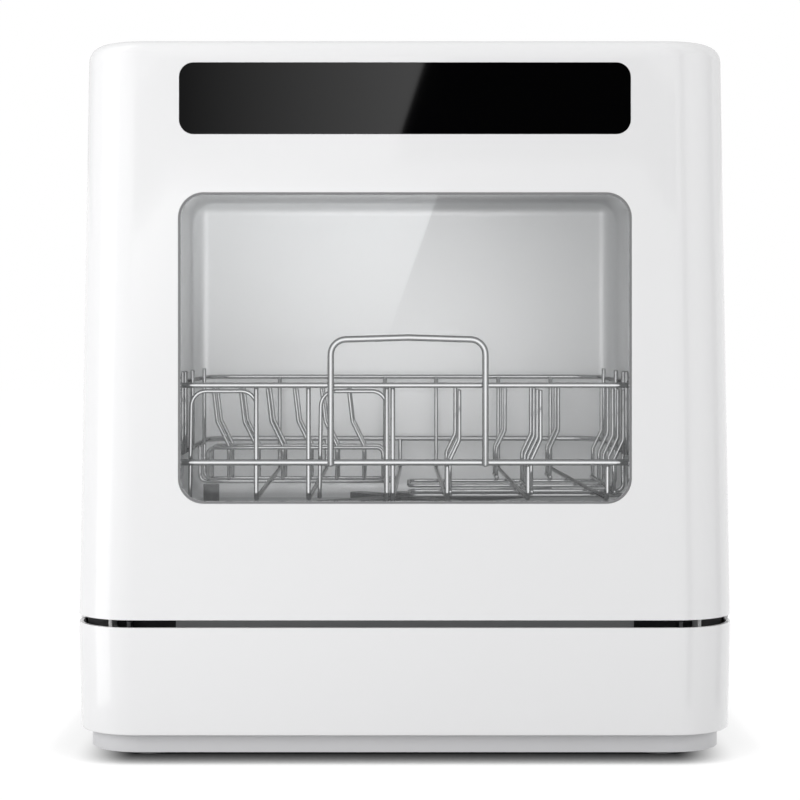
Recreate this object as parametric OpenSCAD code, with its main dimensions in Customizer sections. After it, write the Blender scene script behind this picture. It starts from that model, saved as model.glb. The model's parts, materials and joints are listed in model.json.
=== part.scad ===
// Countertop dishwasher with a drop-down glass door, a wire rack and a built-in water tank.
// Millimetres. X to the right, the front faces -Y, Z up, origin under the middle of the case.

/* [Case] */
// Width at the split between door and base, the widest place
body_w = 420; // [400:1:440]
// Depth from the door's face to the rear panel
body_d = 435; // [420:1:460]
// Height from the worktop to the top
body_h = 450; // [440:1:470]
// How far each side leans in from the split to the top
side_draft = 6.4; // [2:0.2:10]
// How far each side of the base leans in from the split to its lower edge
base_draft = 1.3; // [0.5:0.1:3]
// Radius of the two front corners in plan
corner_r = 40; // [32:1:44]
// Radius of the two rear corners in plan
rear_r = 22; // [16:1:28]
// Radius of the edge round the top
top_fillet = 10; // [6:0.5:14]
// Wall of the plastic case
wall = 2.6; // [2:0.1:3.2]
// Height of the top cover's skirt
cover_h = 10; // [10:0.5:16]

/* [Base] */
// Thickness of the foot pads
foot_h = 1.5; // [1.2:0.1:4]
// Radius of the foot pads
foot_r = 17; // [12:0.5:18]
// Distance of the pads' middles from the case's sides
foot_side = 48; // [45:1:60]
// Distance of the pads' middles from the front and rear faces
foot_in = 27; // [26:0.5:40]
// Height of the plinth band
plinth_h = 11.7; // [8:0.1:14]
// Set-back of the plinth from the base's lower edge
plinth_in = 7.1; // [7:0.1:9.8]
// Height of the base's outer wall
base_h = 67.6; // [62:0.2:72]
// Gap between the base and the door
door_gap = 4.7; // [4.5:0.1:6]
// Distance of the plate behind the gap from the case's sides
fascia_side = 64; // [60:1:90]

/* [Door] */
// Depth of the door with its corners
door_d = 43; // [42.5:0.5:46]
// Seam between the door and the case behind it
seam = 1.2; // [1:0.1:2]
// Width of the door's frame beside the window
window_side = 69.3; // [65:0.1:80]
// Height of the door's frame above the window
window_above = 97.7; // [95.5:0.1:110]
// Height of the door's frame below the window
window_below = 74.6; // [73:0.1:95]
// Corner radius of the window
window_r = 14.5; // [14:0.5:22]
// Thickness of the window panes
glass_t = 4; // [3:0.1:4.5]
// Width of the gasket round the window
gasket_w = 1.5; // [1.2:0.1:2.5]
// Distance of the control panel from the case's sides
panel_side = 68.5; // [65:0.5:90]
// Height of the control panel
panel_h = 44.8; // [38:0.2:46]
// Depth of the control panel's middle below the top
panel_drop = 37.2; // [35:0.1:39]
// Corner radius of the control panel
panel_r = 9; // [6:0.5:12]
// Thickness of the control panel's glass
panel_t = 1.8; // [1.5:0.1:1.9]
// Depth of the door's inner face behind its outer face
liner_depth = 40; // [39:0.5:41]
// Hinge axis behind the door's face
pivot_in = 9; // [8.5:0.1:9.2]
// Hinge axis above the door's lower edge
pivot_up = 8; // [8:0.1:9]
// Distance of the hinges from the case's sides
hinge_side = 32; // [30:0.5:38]
// Hinge pin diameter
pin_d = 5; // [4:0.1:5.5]

/* [Tub] */
// Room between each side of the tub and the case's side
tub_side = 35; // [34:0.5:37]
// Height of the tub's floor
tub_floor = 130; // [128:0.5:131]
// Depth of the tub's ceiling below the top
tub_drop = 72; // [66:1:80]
// Room between the tub's rear wall and the rear face
tub_behind = 35; // [34:0.5:38]
// Radius of the tub's edges
tub_r = 13; // [10:1:28]
// Sheet of the tub
tub_t = 1.6; // [1.2:0.1:2]
// Thickness of the front frame
frame_t = 3; // [2:0.1:4]
// Front of the frame behind the door's face
frame_depth = 45; // [44.7:0.1:46]

/* [Rack] */
// Front of the rack behind the door's face
rack_in = 60; // [58:0.5:64]
// Distance of the side rails' middles from the tub's sides
rack_side = 15; // [14.5:0.5:19]
// Distance of the rear rails' middles from the tub's rear wall
rack_behind = 21; // [18:0.5:30]
// Plan radius of the rack's corners
rack_r = 22; // [15:1:30]
// Height of the top rail
top_rail_z = 231.6; // [225:0.1:236]
// Height of the lower rail
low_rail_z = 180.8; // [178:0.1:184]
// Height of the lengthwise floor wires
floor_wire_z = 156.6; // [156:0.1:158]
// Top rail wire
top_rail_d = 3.5; // [3:0.1:4]
// Lower rail wire
low_rail_d = 4.2; // [3.6:0.1:4.6]
// Uprights and floor wires
upright_d = 3.2; // [2.6:0.1:3.6]
// Tines and hoops
tine_d = 2.8; // [2.4:0.1:3.2]
// Handle wire
handle_d = 4.3; // [3.8:0.1:5]
// Width of the handle between its legs
handle_w = 101.5; // [90:0.5:120]
// Height of the handle's top
handle_z = 263; // [255:0.5:266]
// Tread radius of the rollers
roller_r = 7.5; // [6.5:0.1:8.5]

/* [Water] */
// Radius of the sump's mouth
sump_r = 45; // [40:0.5:46]
// Distance of the spray arm's tips from the tub's sides
arm_gap = 25; // [20:1:50]
// Outer radius of the 3/4 inch inlet thread
inlet_r = 13.1; // [13:0.1:13.3]
// Outer radius of the drain spigot
drain_r = 9.5; // [8:0.1:10]
// Bore of the cable gland
cable_r = 3.6; // [3:0.1:4]
// Radius of the fill opening
fill_r = 26; // [22:0.5:27]

/* [Hidden] */
$fn = 48;

slack = 0.3;          // gap between pieces that only lie side by side
fit = 0.05;           // radial clearance of a running fit
weld = 0.1;           // how deep crossing wires are welded into each other
lap = 0.1;            // how far a straight runs into a bend
collar = 0.04;        // how much thicker a bend is than its straights
thin = 0.01;          // thickness of the slices a rounded shell is drawn through
over = 1;             // how far a cut runs past its piece
big = 1000;

front = -body_d / 2;
rear = body_d / 2;
plinth_z = foot_h;
base_z = plinth_z + plinth_h;
split_z = base_z + base_h;
door_z = split_z + door_gap;
side_z = split_z + slack;
cover_z = body_h - cover_h;
floor_z = plinth_z + wall;                 // top of the plinth's floor
pivot_y = front + pivot_in;
pivot_z = door_z + pivot_up;
liner_y = front + liner_depth;             // inner face of the door
liner_t = 2;
frame_y = front + frame_depth;             // front face of the tub's front frame
tub_y = frame_y + frame_t;                 // front edge of the tub
tub_rear = rear - tub_behind;
tub_w = body_w - 2 * tub_side;
tub_top = body_h - tub_drop;
rack_w = tub_w - 2 * rack_side;
rack_d = tub_rear - rack_behind - front - rack_in;
tub_mid_y = front + rack_in + rack_d / 2;  // middle of the rack and of the spray arm
arm_r = tub_w / 2 - arm_gap;
foot_x = body_w / 2 - foot_side;
hinge_x = body_w / 2 - hinge_side;
fascia_half = body_w / 2 - fascia_side;
window_w = body_w - 2 * window_side;
window_h = body_h - window_above - window_below - door_z;
window_z = body_h - window_above - window_h / 2;
panel_w = body_w - 2 * panel_side;
panel_z = body_h - panel_drop;
tunnel_w = window_w + 15;                  // the door's inner opening, wider than the window
tunnel_h = window_h + 12;
tunnel_r = window_r + 3;

function back(d) = front + d;
function half_at(z) = body_w / 2 - side_draft * (z - split_z) / (body_h - split_z);
function unit(v) = v / norm(v);
function turn_at(p, i) = acos(unit(p[i] - p[i - 1]) * unit(p[i + 1] - p[i]));
function setback(p, i, r) = r * tan(turn_at(p, i) / 2);

// ---------------------------------------------------------------- shared shapes

module corner_discs(half, inset, z) {
    for (s = [-1, 1]) {
        translate([s * (half - corner_r), front + corner_r, z]) cylinder(h = thin, r = corner_r - inset);
        translate([s * (half - rear_r), rear - rear_r, z]) cylinder(h = thin, r = rear_r - inset);
    }
}

// The upper case as one block, inset all round, with its rounded top edge
module case_block(inset, z0) {
    steps = 5;
    hull() {
        corner_discs(half_at(z0), inset, z0);
        for (k = [0:steps]) {
            a = 90 * k / steps;
            z = body_h - top_fillet + (top_fillet - inset) * sin(a) - thin;
            corner_discs(half_at(z), top_fillet - (top_fillet - inset) * cos(a), z);
        }
    }
}

// The base as one block, inset all round
module base_block(inset, z0, z1) {
    hull() {
        corner_discs(body_w / 2 - base_draft, inset, z0);
        corner_discs(body_w / 2, inset, z1 - thin);
    }
}

module rounded(w, h, r) {
    square([w - 2 * r, h], center = true);
    square([w, h - 2 * r], center = true);
    for (x = [-1, 1], y = [-1, 1]) translate([x * (w / 2 - r), y * (h / 2 - r)]) circle(r);
}

// A rounded plate standing in the XZ plane, from y0 back to y1
module upright_plate(w, h, r, z, y0, y1) {
    translate([0, y1, z]) rotate([90, 0, 0]) linear_extrude(y1 - y0) rounded(w, h, r);
}

module box(lo, hi) {
    translate(lo) cube(hi - lo);
}

module rod(a, b, d) {
    v = b - a;
    translate(a) rotate([0, acos(v.z / norm(v)), atan2(v.y, v.x)]) cylinder(h = norm(v), d = d);
}

// The bend at corner p, coming in along u and going out along w
module elbow(p, u, w, r, d) {
    turn = acos(u * w);
    side = unit(w - u * (u * w));
    n = cross(-side, u);
    c = p - r * tan(turn / 2) * u + r * side;
    multmatrix([[-side.x, u.x, n.x, c.x], [-side.y, u.y, n.y, c.y], [-side.z, u.z, n.z, c.z],
        [0, 0, 0, 1]])
        rotate_extrude(angle = turn) translate([r, 0]) circle(d = d);
}

// Round wire through the points, with bends of radius r on its middle line
module wire(p, r, d) {
    last = len(p) - 1;
    for (i = [0:last - 1]) {
        u = unit(p[i + 1] - p[i]);
        a = i == 0 ? p[0] : p[i] + (setback(p, i, r) - lap) * u;
        b = i == last - 1 ? p[last] : p[i + 1] - (setback(p, i + 1, r) - lap) * u;
        rod(a, b, d);
        if (i > 0) elbow(p[i], unit(p[i] - p[i - 1]), u, r, d + collar);
    }
}

// A hose along the same kind of route, hollow and open at both ends
module hose(p, r, d, bore) {
    last = len(p) - 1;
    in0 = unit(p[1] - p[0]) * thin;
    in1 = unit(p[last] - p[last - 1]) * thin;
    difference() {
        wire(p, r, d);
        wire([for (i = [0:last]) i == 0 ? p[0] - in0 : i == last ? p[last] + in1 : p[i]], r, bore);
    }
}

// A closed rectangular ring of wire lying flat
module wire_ring(w, d, r, y, z, wire_d) {
    for (s = [-1, 1]) {
        x1 = w / 2 - r + lap;
        y1 = d / 2 - r + lap;
        rod([-x1, y + s * d / 2, z], [x1, y + s * d / 2, z], wire_d);
        rod([s * w / 2, y - y1, z], [s * w / 2, y + y1, z], wire_d);
    }
    for (k = [0:3]) {
        sx = k == 0 || k == 3 ? 1 : -1;
        sy = k < 2 ? 1 : -1;
        translate([sx * (w / 2 - r), y + sy * (d / 2 - r), z]) rotate([0, 0, 90 * k])
            rotate_extrude(angle = 90) translate([r, 0]) circle(d = wire_d + collar);
    }
}

// ---------------------------------------------------------------- case and base

pocket_x = [body_w / 2 - 144, body_w / 2 - 18];   // recess for the hoses, in the base's rear wall
pocket_z = [26, 74];
pocket_d = 34;
pocket_wall = 2.2;
pocket_y = rear - pocket_d;
port_z = 48;
inlet_x = pocket_x[0] + 26;
drain_x = pocket_x[0] + 68;
cable_x = pocket_x[1] - 22;
flange_in = 16;            // width of the base's lower flange
frame_half = half_at(cover_z) - wall - slack;

module base_shell() {
    color([0.93, 0.93, 0.94]) {
        difference() {
            base_block(0, base_z, split_z);
            base_block(wall, base_z + wall, split_z + over);
            base_block(flange_in, base_z - over, base_z + wall + over);
            box([pocket_x[0], pocket_y, pocket_z[0]], [pocket_x[1], rear + over, pocket_z[1]]);
        }
        difference() {
            box([pocket_x[0] - pocket_wall, pocket_y - pocket_wall, pocket_z[0] - pocket_wall],
                [pocket_x[1] + pocket_wall, rear - wall / 2, pocket_z[1] + pocket_wall]);
            box([pocket_x[0], pocket_y, pocket_z[0]], [pocket_x[1], rear + over, pocket_z[1]]);
            for (p = [[inlet_x, inlet_r], [drain_x, drain_r], [cable_x, gland_r]])
                translate([p[0], pocket_y + over, port_z]) rotate([90, 0, 0])
                    cylinder(h = pocket_wall + 2 * over, r = p[1] + fit);
        }
    }
}

// Everything stands on this tray
module base_plinth() {
    color([0.85, 0.85, 0.86]) difference() {
        translate([0, 0, plinth_z]) linear_extrude(plinth_h) plan(plinth_in);
        translate([0, 0, floor_z]) linear_extrude(plinth_h) plan(plinth_in + wall);
        for (x = [-1, 1], y = [-1, 1])
            translate([x * foot_x, y * (rear - foot_in), plinth_z - over]) cylinder(h = 2 * wall, r = peg_r);
    }
}

// Outline of the base's lower edge in plan, set back by inset
module plan(inset) {
    half = body_w / 2 - base_draft;
    w = half - inset;
    xf = half - corner_r;
    xr = half - rear_r;
    polygon([[-xf, front + inset], [xf, front + inset], [w, front + corner_r], [w, rear - rear_r],
        [xr, rear - inset], [-xr, rear - inset], [-w, rear - rear_r], [-w, front + corner_r]]);
    for (s = [-1, 1]) {
        translate([s * xf, front + corner_r]) circle(corner_r - inset);
        translate([s * xr, rear - rear_r]) circle(rear_r - inset);
    }
}

peg_r = 4;

module foot_pads() {
    color([0.25, 0.25, 0.26])
        for (x = [-1, 1], y = [-1, 1]) translate([x * foot_x, y * (rear - foot_in), 0]) {
            cylinder(h = foot_h, r = foot_r);
            cylinder(h = foot_h + wall, r = peg_r - fit);
        }
}

module gap_fascia() {
    color([0.4, 0.4, 0.41]) {
        box([-fascia_half, back(21), split_z - 20], [fascia_half, back(23), door_z - over]);
        box([-fascia_half, back(wall + fit), split_z - 20], [fascia_half, back(22), split_z - 18]);
    }
}

module case_wall(z0) {
    difference() {
        case_block(0, z0);
        case_block(wall, z0 - over);
    }
}

panel_half = body_w / 2 - rear_r - side_draft;   // half-width of the flat rear panel

module side_panel(s) {
    color([0.94, 0.94, 0.95]) intersection() {
        case_wall(side_z);
        translate([s > 0 ? panel_half : -big - panel_half, back(door_d + seam), side_z])
            cube([big, big, cover_z - slack - side_z]);
    }
}

module side_panel_left() { side_panel(-1); }
module side_panel_right() { side_panel(1); }

module rear_panel() {
    color([0.88, 0.88, 0.89]) difference() {
        box([-panel_half + slack, rear - wall, side_z], [panel_half - slack, rear, cover_z - slack]);
        for (k = [-3:3]) box([vent_x + 9 * k - 2, rear - wall - over, vent_z - 14],
            [vent_x + 9 * k + 2, rear + over, vent_z + 14]);
        for (x = screw_cols, z = screw_rows) translate([x, rear + over, z]) rotate([90, 0, 0]) {
            cylinder(h = over + 1.6, r = 3.7);
            cylinder(h = wall + 2 * over, r = 1.7);
        }
    }
}

screw_cols = [5.6 - panel_half, panel_half - 5.6];
screw_rows = [split_z + 20, (split_z + cover_z) / 2, cover_z - 15];

// Pan-head screws that hold the rear panel
module case_screws() {
    color([0.6, 0.6, 0.62]) for (x = screw_cols, z = screw_rows)
        translate([x, rear - 0.1, z]) rotate([90, 0, 0]) {
            cylinder(h = 1.5, r = 3.6);
            cylinder(h = 9, r = 1.65);
        }
}

fill_x = 70 - body_w / 2;
fill_y = rear - 67.5;
lid_r = fill_r + 4;
lid_t = 2.6;
lid_arm = 17;              // width of the lid's hinge arm
lid_slot = lid_arm + 1;
lid_hinge_y = fill_y + lid_r + 3;
lid_hinge_z = body_h - lid_t;
// how far the lid's rear edge swings back as it lifts
lid_reach = lid_hinge_y - fill_y - sqrt(pow(lid_r, 2) - pow(lid_slot / 2, 2));
lid_swing = lid_reach - sqrt(pow(lid_reach, 2) - pow(lid_t, 2));
scoop_w = 96;              // finger scoop behind the door's top edge
scoop_d = 20;
scoop_h = 13;
scoop_half = scoop_w / 2 + wall;
scoop_z = body_h - scoop_h - wall;

// Room in the top for the lid, its hinge and the water
module fill_cuts() {
    translate([fill_x, fill_y, 0]) cylinder(h = big, r = fill_r);
    for (y = [0, lid_swing]) translate([fill_x, fill_y + y, body_h - lid_t])
        cylinder(h = big, r = lid_r + slack);
    box([fill_x - lid_slot / 2, fill_y, body_h - 6], [fill_x + lid_slot / 2, lid_hinge_y + 4, body_h + over]);
}

module scoop_cut() {
    box([-scoop_w / 2, front, body_h - scoop_h], [scoop_w / 2, back(door_d + seam + scoop_d), body_h + over]);
}

ear_t = 4;                 // ears that hold the lid's pin
ear_x = lid_slot / 2 + ear_t;
lid_pin_r = 1.2;

module top_cover() {
    color([0.94, 0.94, 0.95]) {
        difference() {
            intersection() {
                case_wall(cover_z - 20);
                translate([-big / 2, back(door_d + seam), cover_z]) cube([big, big, big]);
            }
            fill_cuts();
            scoop_cut();
        }
        // tray under the lid and its hinge, and the floor and walls of the finger scoop
        difference() {
            translate([fill_x, fill_y, cover_z - 2]) union() {
                cylinder(h = cover_h + 2 - lid_t, r = lid_r + 2);
                box([-ear_x, 0, 0], [ear_x, lid_r + 10, cover_h + 2 - wall / 2]);
            }
            fill_cuts();
        }
        for (x = [fill_x - ear_x, fill_x + lid_slot / 2])
            box([x, lid_hinge_y - 3, cover_z - 2], [x + ear_t, lid_hinge_y + 3, body_h - 0.6]);
        translate([fill_x - lid_slot / 2 - over, lid_hinge_y, lid_hinge_z]) rotate([0, 90, 0])
            cylinder(h = lid_slot + 2 * over, r = lid_pin_r);
        difference() {
            box([-scoop_half, back(door_d + seam), scoop_z],
                [scoop_half, back(door_d + seam + scoop_d) + wall, body_h - wall / 2]);
            scoop_cut();
        }
    }
}

module tank_lid() {
    color([0.9, 0.9, 0.91]) difference() {
        union() {
            translate([fill_x, fill_y, body_h - lid_t + fit]) cylinder(h = lid_t - fit, r = lid_r);
            box([fill_x - lid_arm / 2, fill_y + lid_r - 8, body_h - lid_t + fit],
                [fill_x + lid_arm / 2, lid_hinge_y, body_h]);
            translate([fill_x - lid_arm / 2, lid_hinge_y, lid_hinge_z]) rotate([0, 90, 0])
                cylinder(h = lid_arm, r = lid_t);
        }
        translate([fill_x - lid_slot / 2, lid_hinge_y, lid_hinge_z]) rotate([0, 90, 0])
            cylinder(h = lid_slot, r = lid_pin_r + fit);
        translate([fill_x, fill_y - lid_r, body_h + 4]) rotate([0, 90, 0])
            cylinder(h = 16, r = 5.2, center = true);
    }
}

// ---------------------------------------------------------------- tub

module tub_block(inset, y0) {
    r = tub_r - inset;
    w = tub_w / 2 - tub_r;
    hull() for (x = [-1, 1], z = [tub_floor + tub_r, tub_top - tub_r]) {
        translate([x * w, y0, z]) rotate([-90, 0, 0]) cylinder(h = thin, r = r, $fn = 40);
        translate([x * w, tub_rear - tub_r, z]) sphere(r = r, $fn = 40);
    }
}

sump_x = 75;
sump_y = tub_mid_y - 64;
float_x = 18 - tub_w / 2;
float_y = tub_rear - 37.5;
float_r = 6.5;
float_stem_r = 3;
tub_vent = [80, 60, 18];   // middle and radius of the drying air outlet in the ceiling
tub_under = tub_floor - tub_t;
tub_over = tub_top + tub_t;
axle_r = 2.5;
axle_y = [back(rack_in + 12), back(rack_in + 112)];
axle_z = low_rail_z - low_rail_d / 2 - roller_r - 0.1;
roller_in = rack_w / 2 - 1.4;   // inner face of the rollers
roller_w = 7.4;
tread_w = 4.4;
head_t = 1;                     // flush head of the axles
head_r = axle_r + 2;
tub_leg_x = [-100, 35];

module tub() {
    color([0.78, 0.79, 0.8]) {
        difference() {
            tub_block(-tub_t, tub_y);
            tub_block(0, tub_y - over);
            translate([sump_x, sump_y, tub_floor - 5]) cylinder(h = 10, r = sump_r);
            translate([0, tub_mid_y, tub_floor - 5]) cylinder(h = 10, r = post_r);
            translate([float_x, float_y, tub_floor - 5]) cylinder(h = 10, r = float_stem_r + fit);
            translate([tub_vent[0], tub_vent[1], tub_top - 5]) cylinder(h = 10, r = tub_vent[2]);
            for (s = [-1, 1], y = axle_y) translate([0, y, axle_z]) rotate([0, 90 * s, 0])
                cylinder(h = tub_w, r = axle_r);
        }
        // rear legs, down to the plinth's floor
        for (x = tub_leg_x)
            box([x - 15, tub_rear + tub_t - fit, floor_z], [x + 15, tub_rear + tub_t + 3, tub_under + 60]);
    }
}

// White bulkhead round the tub's mouth, standing on the base
module tub_front_frame() {
    color([0.9, 0.9, 0.91]) {
        difference() {
            translate([0, tub_y, 0]) rotate([90, 0, 0]) linear_extrude(frame_t) polygon([
                [-frame_low, base_z + wall], [frame_low, base_z + wall],
                [frame_low, split_z], [frame_mid, split_z + slack],
                [frame_half, cover_z - slack], [-frame_half, cover_z - slack],
                [-frame_mid, split_z + slack], [-frame_low, split_z]]);
            upright_plate(tub_w, tub_h, tub_r, tub_mid_z, frame_y - over, tub_y + over);
            box([-hook_w / 2 - 3, frame_y - over, hook_z - 5],
                [hook_w / 2 + 3, tub_y + over, hook_z + 12]);
            box([-scoop_half - slack, frame_y - over, scoop_z - slack],
                [scoop_half + slack, tub_y + over, body_h]);
        }
        // light ribs seen in the ends of the gap
        for (s = [-1, 1])
            box([s * rib_x - 1, pivot_y + rib_in, split_z - 30], [s * rib_x + 1, frame_y, door_z - over]);
    }
}

rib_x = body_w / 2 - 22.5;
rib_in = pivot_up + over;   // clear of the door's lower edge as it turns
frame_low = body_w / 2 - base_draft - wall - slack;
frame_mid = half_at(split_z) - wall - slack;
tub_h = tub_top - tub_floor;
tub_mid_z = (tub_top + tub_floor) / 2;

seal_w = 8;

module door_seal() {
    color([0.7, 0.7, 0.71]) difference() {
        upright_plate(tub_w + 4 + 2 * seal_w, tub_h + 4 + 2 * seal_w, tub_r + 2 + seal_w,
            tub_mid_z, liner_y + slack, frame_y);
        upright_plate(tub_w + 4, tub_h + 4, tub_r + 2, tub_mid_z, liner_y, frame_y + over);
    }
}

neck_angle = 25;           // slope of the fixed bracket's neck, so that it clears the door
bracket_t = 2.4;
eye_r = 4.5;

module hinge_brackets() {
    color([0.2, 0.2, 0.21]) for (s = [-1, 1]) translate([s * hinge_x, 0, 0]) difference() {
        union() {
            translate([-bracket_t / 2, pivot_y, pivot_z]) rotate([0, 90, 0])
                cylinder(h = bracket_t, r = eye_r);
            translate([-bracket_t / 2, pivot_y, pivot_z]) rotate([-neck_angle, 0, 0])
                translate([0, 0, -2]) cube([bracket_t, 33, 4]);
            box([-bracket_t / 2, back(34), split_z - 50], [bracket_t / 2, frame_y, split_z - 1]);
            box([-7, frame_y - 2, split_z - 50], [7, frame_y, split_z - 8]);
        }
        translate([-big / 2, pivot_y, pivot_z]) rotate([0, 90, 0])
            cylinder(h = big, r = pin_d / 2 + fit);
    }
}

// The rollers' axles: a flush head inside, a boss on the tub's wall and a riveted end outside
module roller_axles() {
    color([0.6, 0.61, 0.62]) for (s = [-1, 1], y = axle_y)
        translate([0, y, axle_z]) rotate([0, 90 * s, 0]) {
            translate([0, 0, roller_in]) cylinder(h = head_t, r = head_r);
            translate([0, 0, roller_in]) cylinder(h = tub_w / 2 + tub_t + 2 - roller_in, r = axle_r - fit);
            translate([0, 0, roller_in + roller_w + slack])
                cylinder(h = tub_w / 2 - roller_in - roller_w - 2 * slack, r = head_r);
        }
}

// One roller: a tread under the rack's side rail and a flange outside it
module roller(s, y) {
    color([0.75, 0.75, 0.76]) translate([0, y, axle_z]) rotate([0, 90 * s, 0]) difference() {
        union() {
            translate([0, 0, roller_in]) cylinder(h = tread_w + slack, r = roller_r);
            translate([0, 0, roller_in + tread_w]) cylinder(h = roller_w - tread_w, r = roller_r + 2.5);
        }
        cylinder(h = tub_w, r = axle_r);
        cylinder(h = roller_in + head_t + slack, r = head_r + fit);
    }
}

module roller_front_left() { roller(-1, axle_y[0]); }
module roller_front_right() { roller(1, axle_y[0]); }
module roller_rear_left() { roller(-1, axle_y[1]); }
module roller_rear_right() { roller(1, axle_y[1]); }

// ---------------------------------------------------------------- water

post_r = 9;                // tube that carries the spray arm and feeds it
post_bore = 6.5;
post_low = 112;             // lower end of the post, where its hose starts
post_top = tub_floor + 8.7;
pump_z = 46;
pump_r = 34;
sump_low = 92;             // bottom of the sump
throat_r = 24;             // bore of the fine filter's seat
line_z = 100;              // height of the pressure line under the tub
pump_y = sump_y + 16;

// Funnel under the tub's floor, with its suction, drain and tank ports
module sump_bowl() {
    color([0.35, 0.36, 0.37]) translate([sump_x, sump_y, 0]) difference() {
        union() {
            rotate_extrude() polygon([[sump_r + 8, tub_under], [sump_r + 8, tub_under - 2],
                [sump_r + 2, tub_under - 2], [throat_r + 3, tub_under - 14],
                [throat_r + 3, sump_low - 2], [0, sump_low - 2], [0, tub_under]]);
            translate([throat_r, 0, sump_low + 10]) rotate([0, 90, 0]) cylinder(h = 14, r = 8);
            translate([-throat_r - 14, 0, sump_low + 10]) rotate([0, 90, 0]) cylinder(h = 14, r = 7);
            translate([0, 0, sump_low - 12]) cylinder(h = 12, r = 12);
        }
        rotate_extrude() polygon([[0, tub_under + over], [sump_r, tub_under + over], [sump_r, tub_under - 2],
            [throat_r + 0.6, tub_under - 14], [throat_r + 0.6, sump_low], [0, sump_low]]);
        translate([0, 0, sump_low + 10]) rotate([0, 90, 0]) cylinder(h = throat_r + 20, r = 6);
        translate([0, 0, sump_low + 10]) rotate([0, -90, 0]) cylinder(h = throat_r + 20, r = 5);
        translate([0, 0, sump_low - 20]) cylinder(h = 30, r = 10);
    }
}

module coarse_filter() {
    color([0.65, 0.66, 0.67]) translate([sump_x, sump_y, 0]) difference() {
        union() {
            translate([0, 0, tub_under - 1.5]) cylinder(h = 3, r = sump_r - slack);
            translate([0, 0, sump_low + 20]) cylinder(h = tub_under - sump_low - 20, r = throat_r);
        }
        translate([0, 0, sump_low]) cylinder(h = big, r = throat_r - 2);
        for (ring = [29, 34, 39], k = [0:15]) rotate([0, 0, 22.5 * k + ring])
            translate([ring, 0, tub_under - 5]) cylinder(h = 10, r = 1.6, $fn = 16);
    }
}

// Cup with slots and a grip, turned a quarter to unlock
module fine_filter() {
    color([0.55, 0.57, 0.6]) translate([sump_x, sump_y, 0]) difference() {
        union() {
            translate([0, 0, sump_low + 3])
                cylinder(h = tub_floor - 1 - sump_low, r = throat_r - 2 - 2 * fit);
            translate([3 - throat_r, -2, tub_floor - 8]) cube([2 * throat_r - 6, 4, 13]);
        }
        difference() {
            translate([0, 0, sump_low + 5]) cylinder(h = big, r = throat_r - 4);
            translate([-throat_r, -2, tub_floor - 8]) cube([2 * throat_r, 4, 14]);
        }
        for (k = [0:5], z = [sump_low + 8, sump_low + 17]) rotate([0, 0, 60 * k + 30])
            translate([10, -1.5, z]) cube([20, 3, 6]);
    }
}

module spray_bearing() {
    color([0.3, 0.3, 0.31]) translate([0, tub_mid_y, 0]) difference() {
        union() {
            translate([0, 0, post_low]) cylinder(h = post_top - post_low, r = post_r - fit);
            translate([0, 0, tub_floor + slack]) cylinder(h = 2, r = post_r + 6);
            translate([0, 0, post_low])
                cylinder(h = arm_z + hub_h + slack - post_low, r = post_bore);
            translate([0, 0, arm_z + hub_h + slack]) cylinder(h = 1.6, r = post_bore + 3);
        }
        translate([0, 0, post_low - over]) cylinder(h = arm_z + over - post_low, r = post_bore - 1.5);
    }
}

arm_z = post_top + slack;
arm_angle = 220;           // the long blades point front left and rear right at rest
hub_r = 17;
hub_h = 8;

module blade(len, w0, w1) {
    difference() {
        union() {
            linear_extrude(7) polygon([[0, -w0 / 2], [len - w1 / 2, -w1 / 2],
                [len - w1 / 2, w1 / 2], [0, w0 / 2]]);
            translate([len - w1 / 2, 0, 0]) cylinder(h = 7, r = w1 / 2);
        }
        for (x = [hub_r + 12 : 22 : len - 8]) translate([x, 0, 5])
            cylinder(h = 4, r = 1.5, $fn = 16);
    }
}

module spray_arm() {
    color([0.35, 0.36, 0.38]) translate([0, tub_mid_y, arm_z]) difference() {
        union() {
            for (k = [0, 180]) rotate([0, 0, arm_angle + k]) blade(arm_r, 24, 15);
            for (k = [90, 270]) rotate([0, 0, arm_angle + k]) blade(arm_r * 0.4, 20, 14);
            cylinder(h = hub_h, r = hub_r);
        }
        translate([0, 0, -over]) cylinder(h = 20, r = post_bore + fit);
    }
}

shaft_r = 3;

module wash_pump_volute() {
    color([0.25, 0.25, 0.26]) translate([sump_x, pump_y, pump_z]) difference() {
        union() {
            rotate([-90, 0, 0]) cylinder(h = 26, r = pump_r);
            translate([-pump_r + 9, 13, 0]) cylinder(h = line_z - 16 - pump_z, r = 9);
            translate([-12, 0, -pump_z + floor_z]) cube([24, 26, pump_z - floor_z - pump_r + 5]);
        }
        translate([0, 3, 0]) rotate([-90, 0, 0]) cylinder(h = 20, r = pump_r - 4);
        rotate([-90, 0, 0]) translate([0, 0, -over]) cylinder(h = 10, r = 10);
        rotate([-90, 0, 0]) cylinder(h = 30, r = shaft_r + fit);
        translate([-pump_r + 9, 13, 0]) cylinder(h = big, r = 6.5);
    }
}

module wash_pump_motor() {
    color([0.45, 0.46, 0.48]) translate([sump_x, pump_y + 26, pump_z]) difference() {
        union() {
            rotate([-90, 0, 0]) cylinder(h = 62, r = 30);
            rotate([-90, 0, 0]) cylinder(h = 68, r = 14);
            for (y = [8, 46]) translate([-16, y, -pump_z + floor_z]) cube([32, 6, 20]);
        }
        rotate([-90, 0, 0]) translate([0, 0, -over]) cylinder(h = 60, r = shaft_r + fit);
    }
}

module vanes(n, r0, r1, h, t) {
    for (k = [0:n - 1]) rotate([0, 0, 360 / n * k]) translate([r0, -t / 2, 0]) cube([r1 - r0, t, h]);
}

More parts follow.
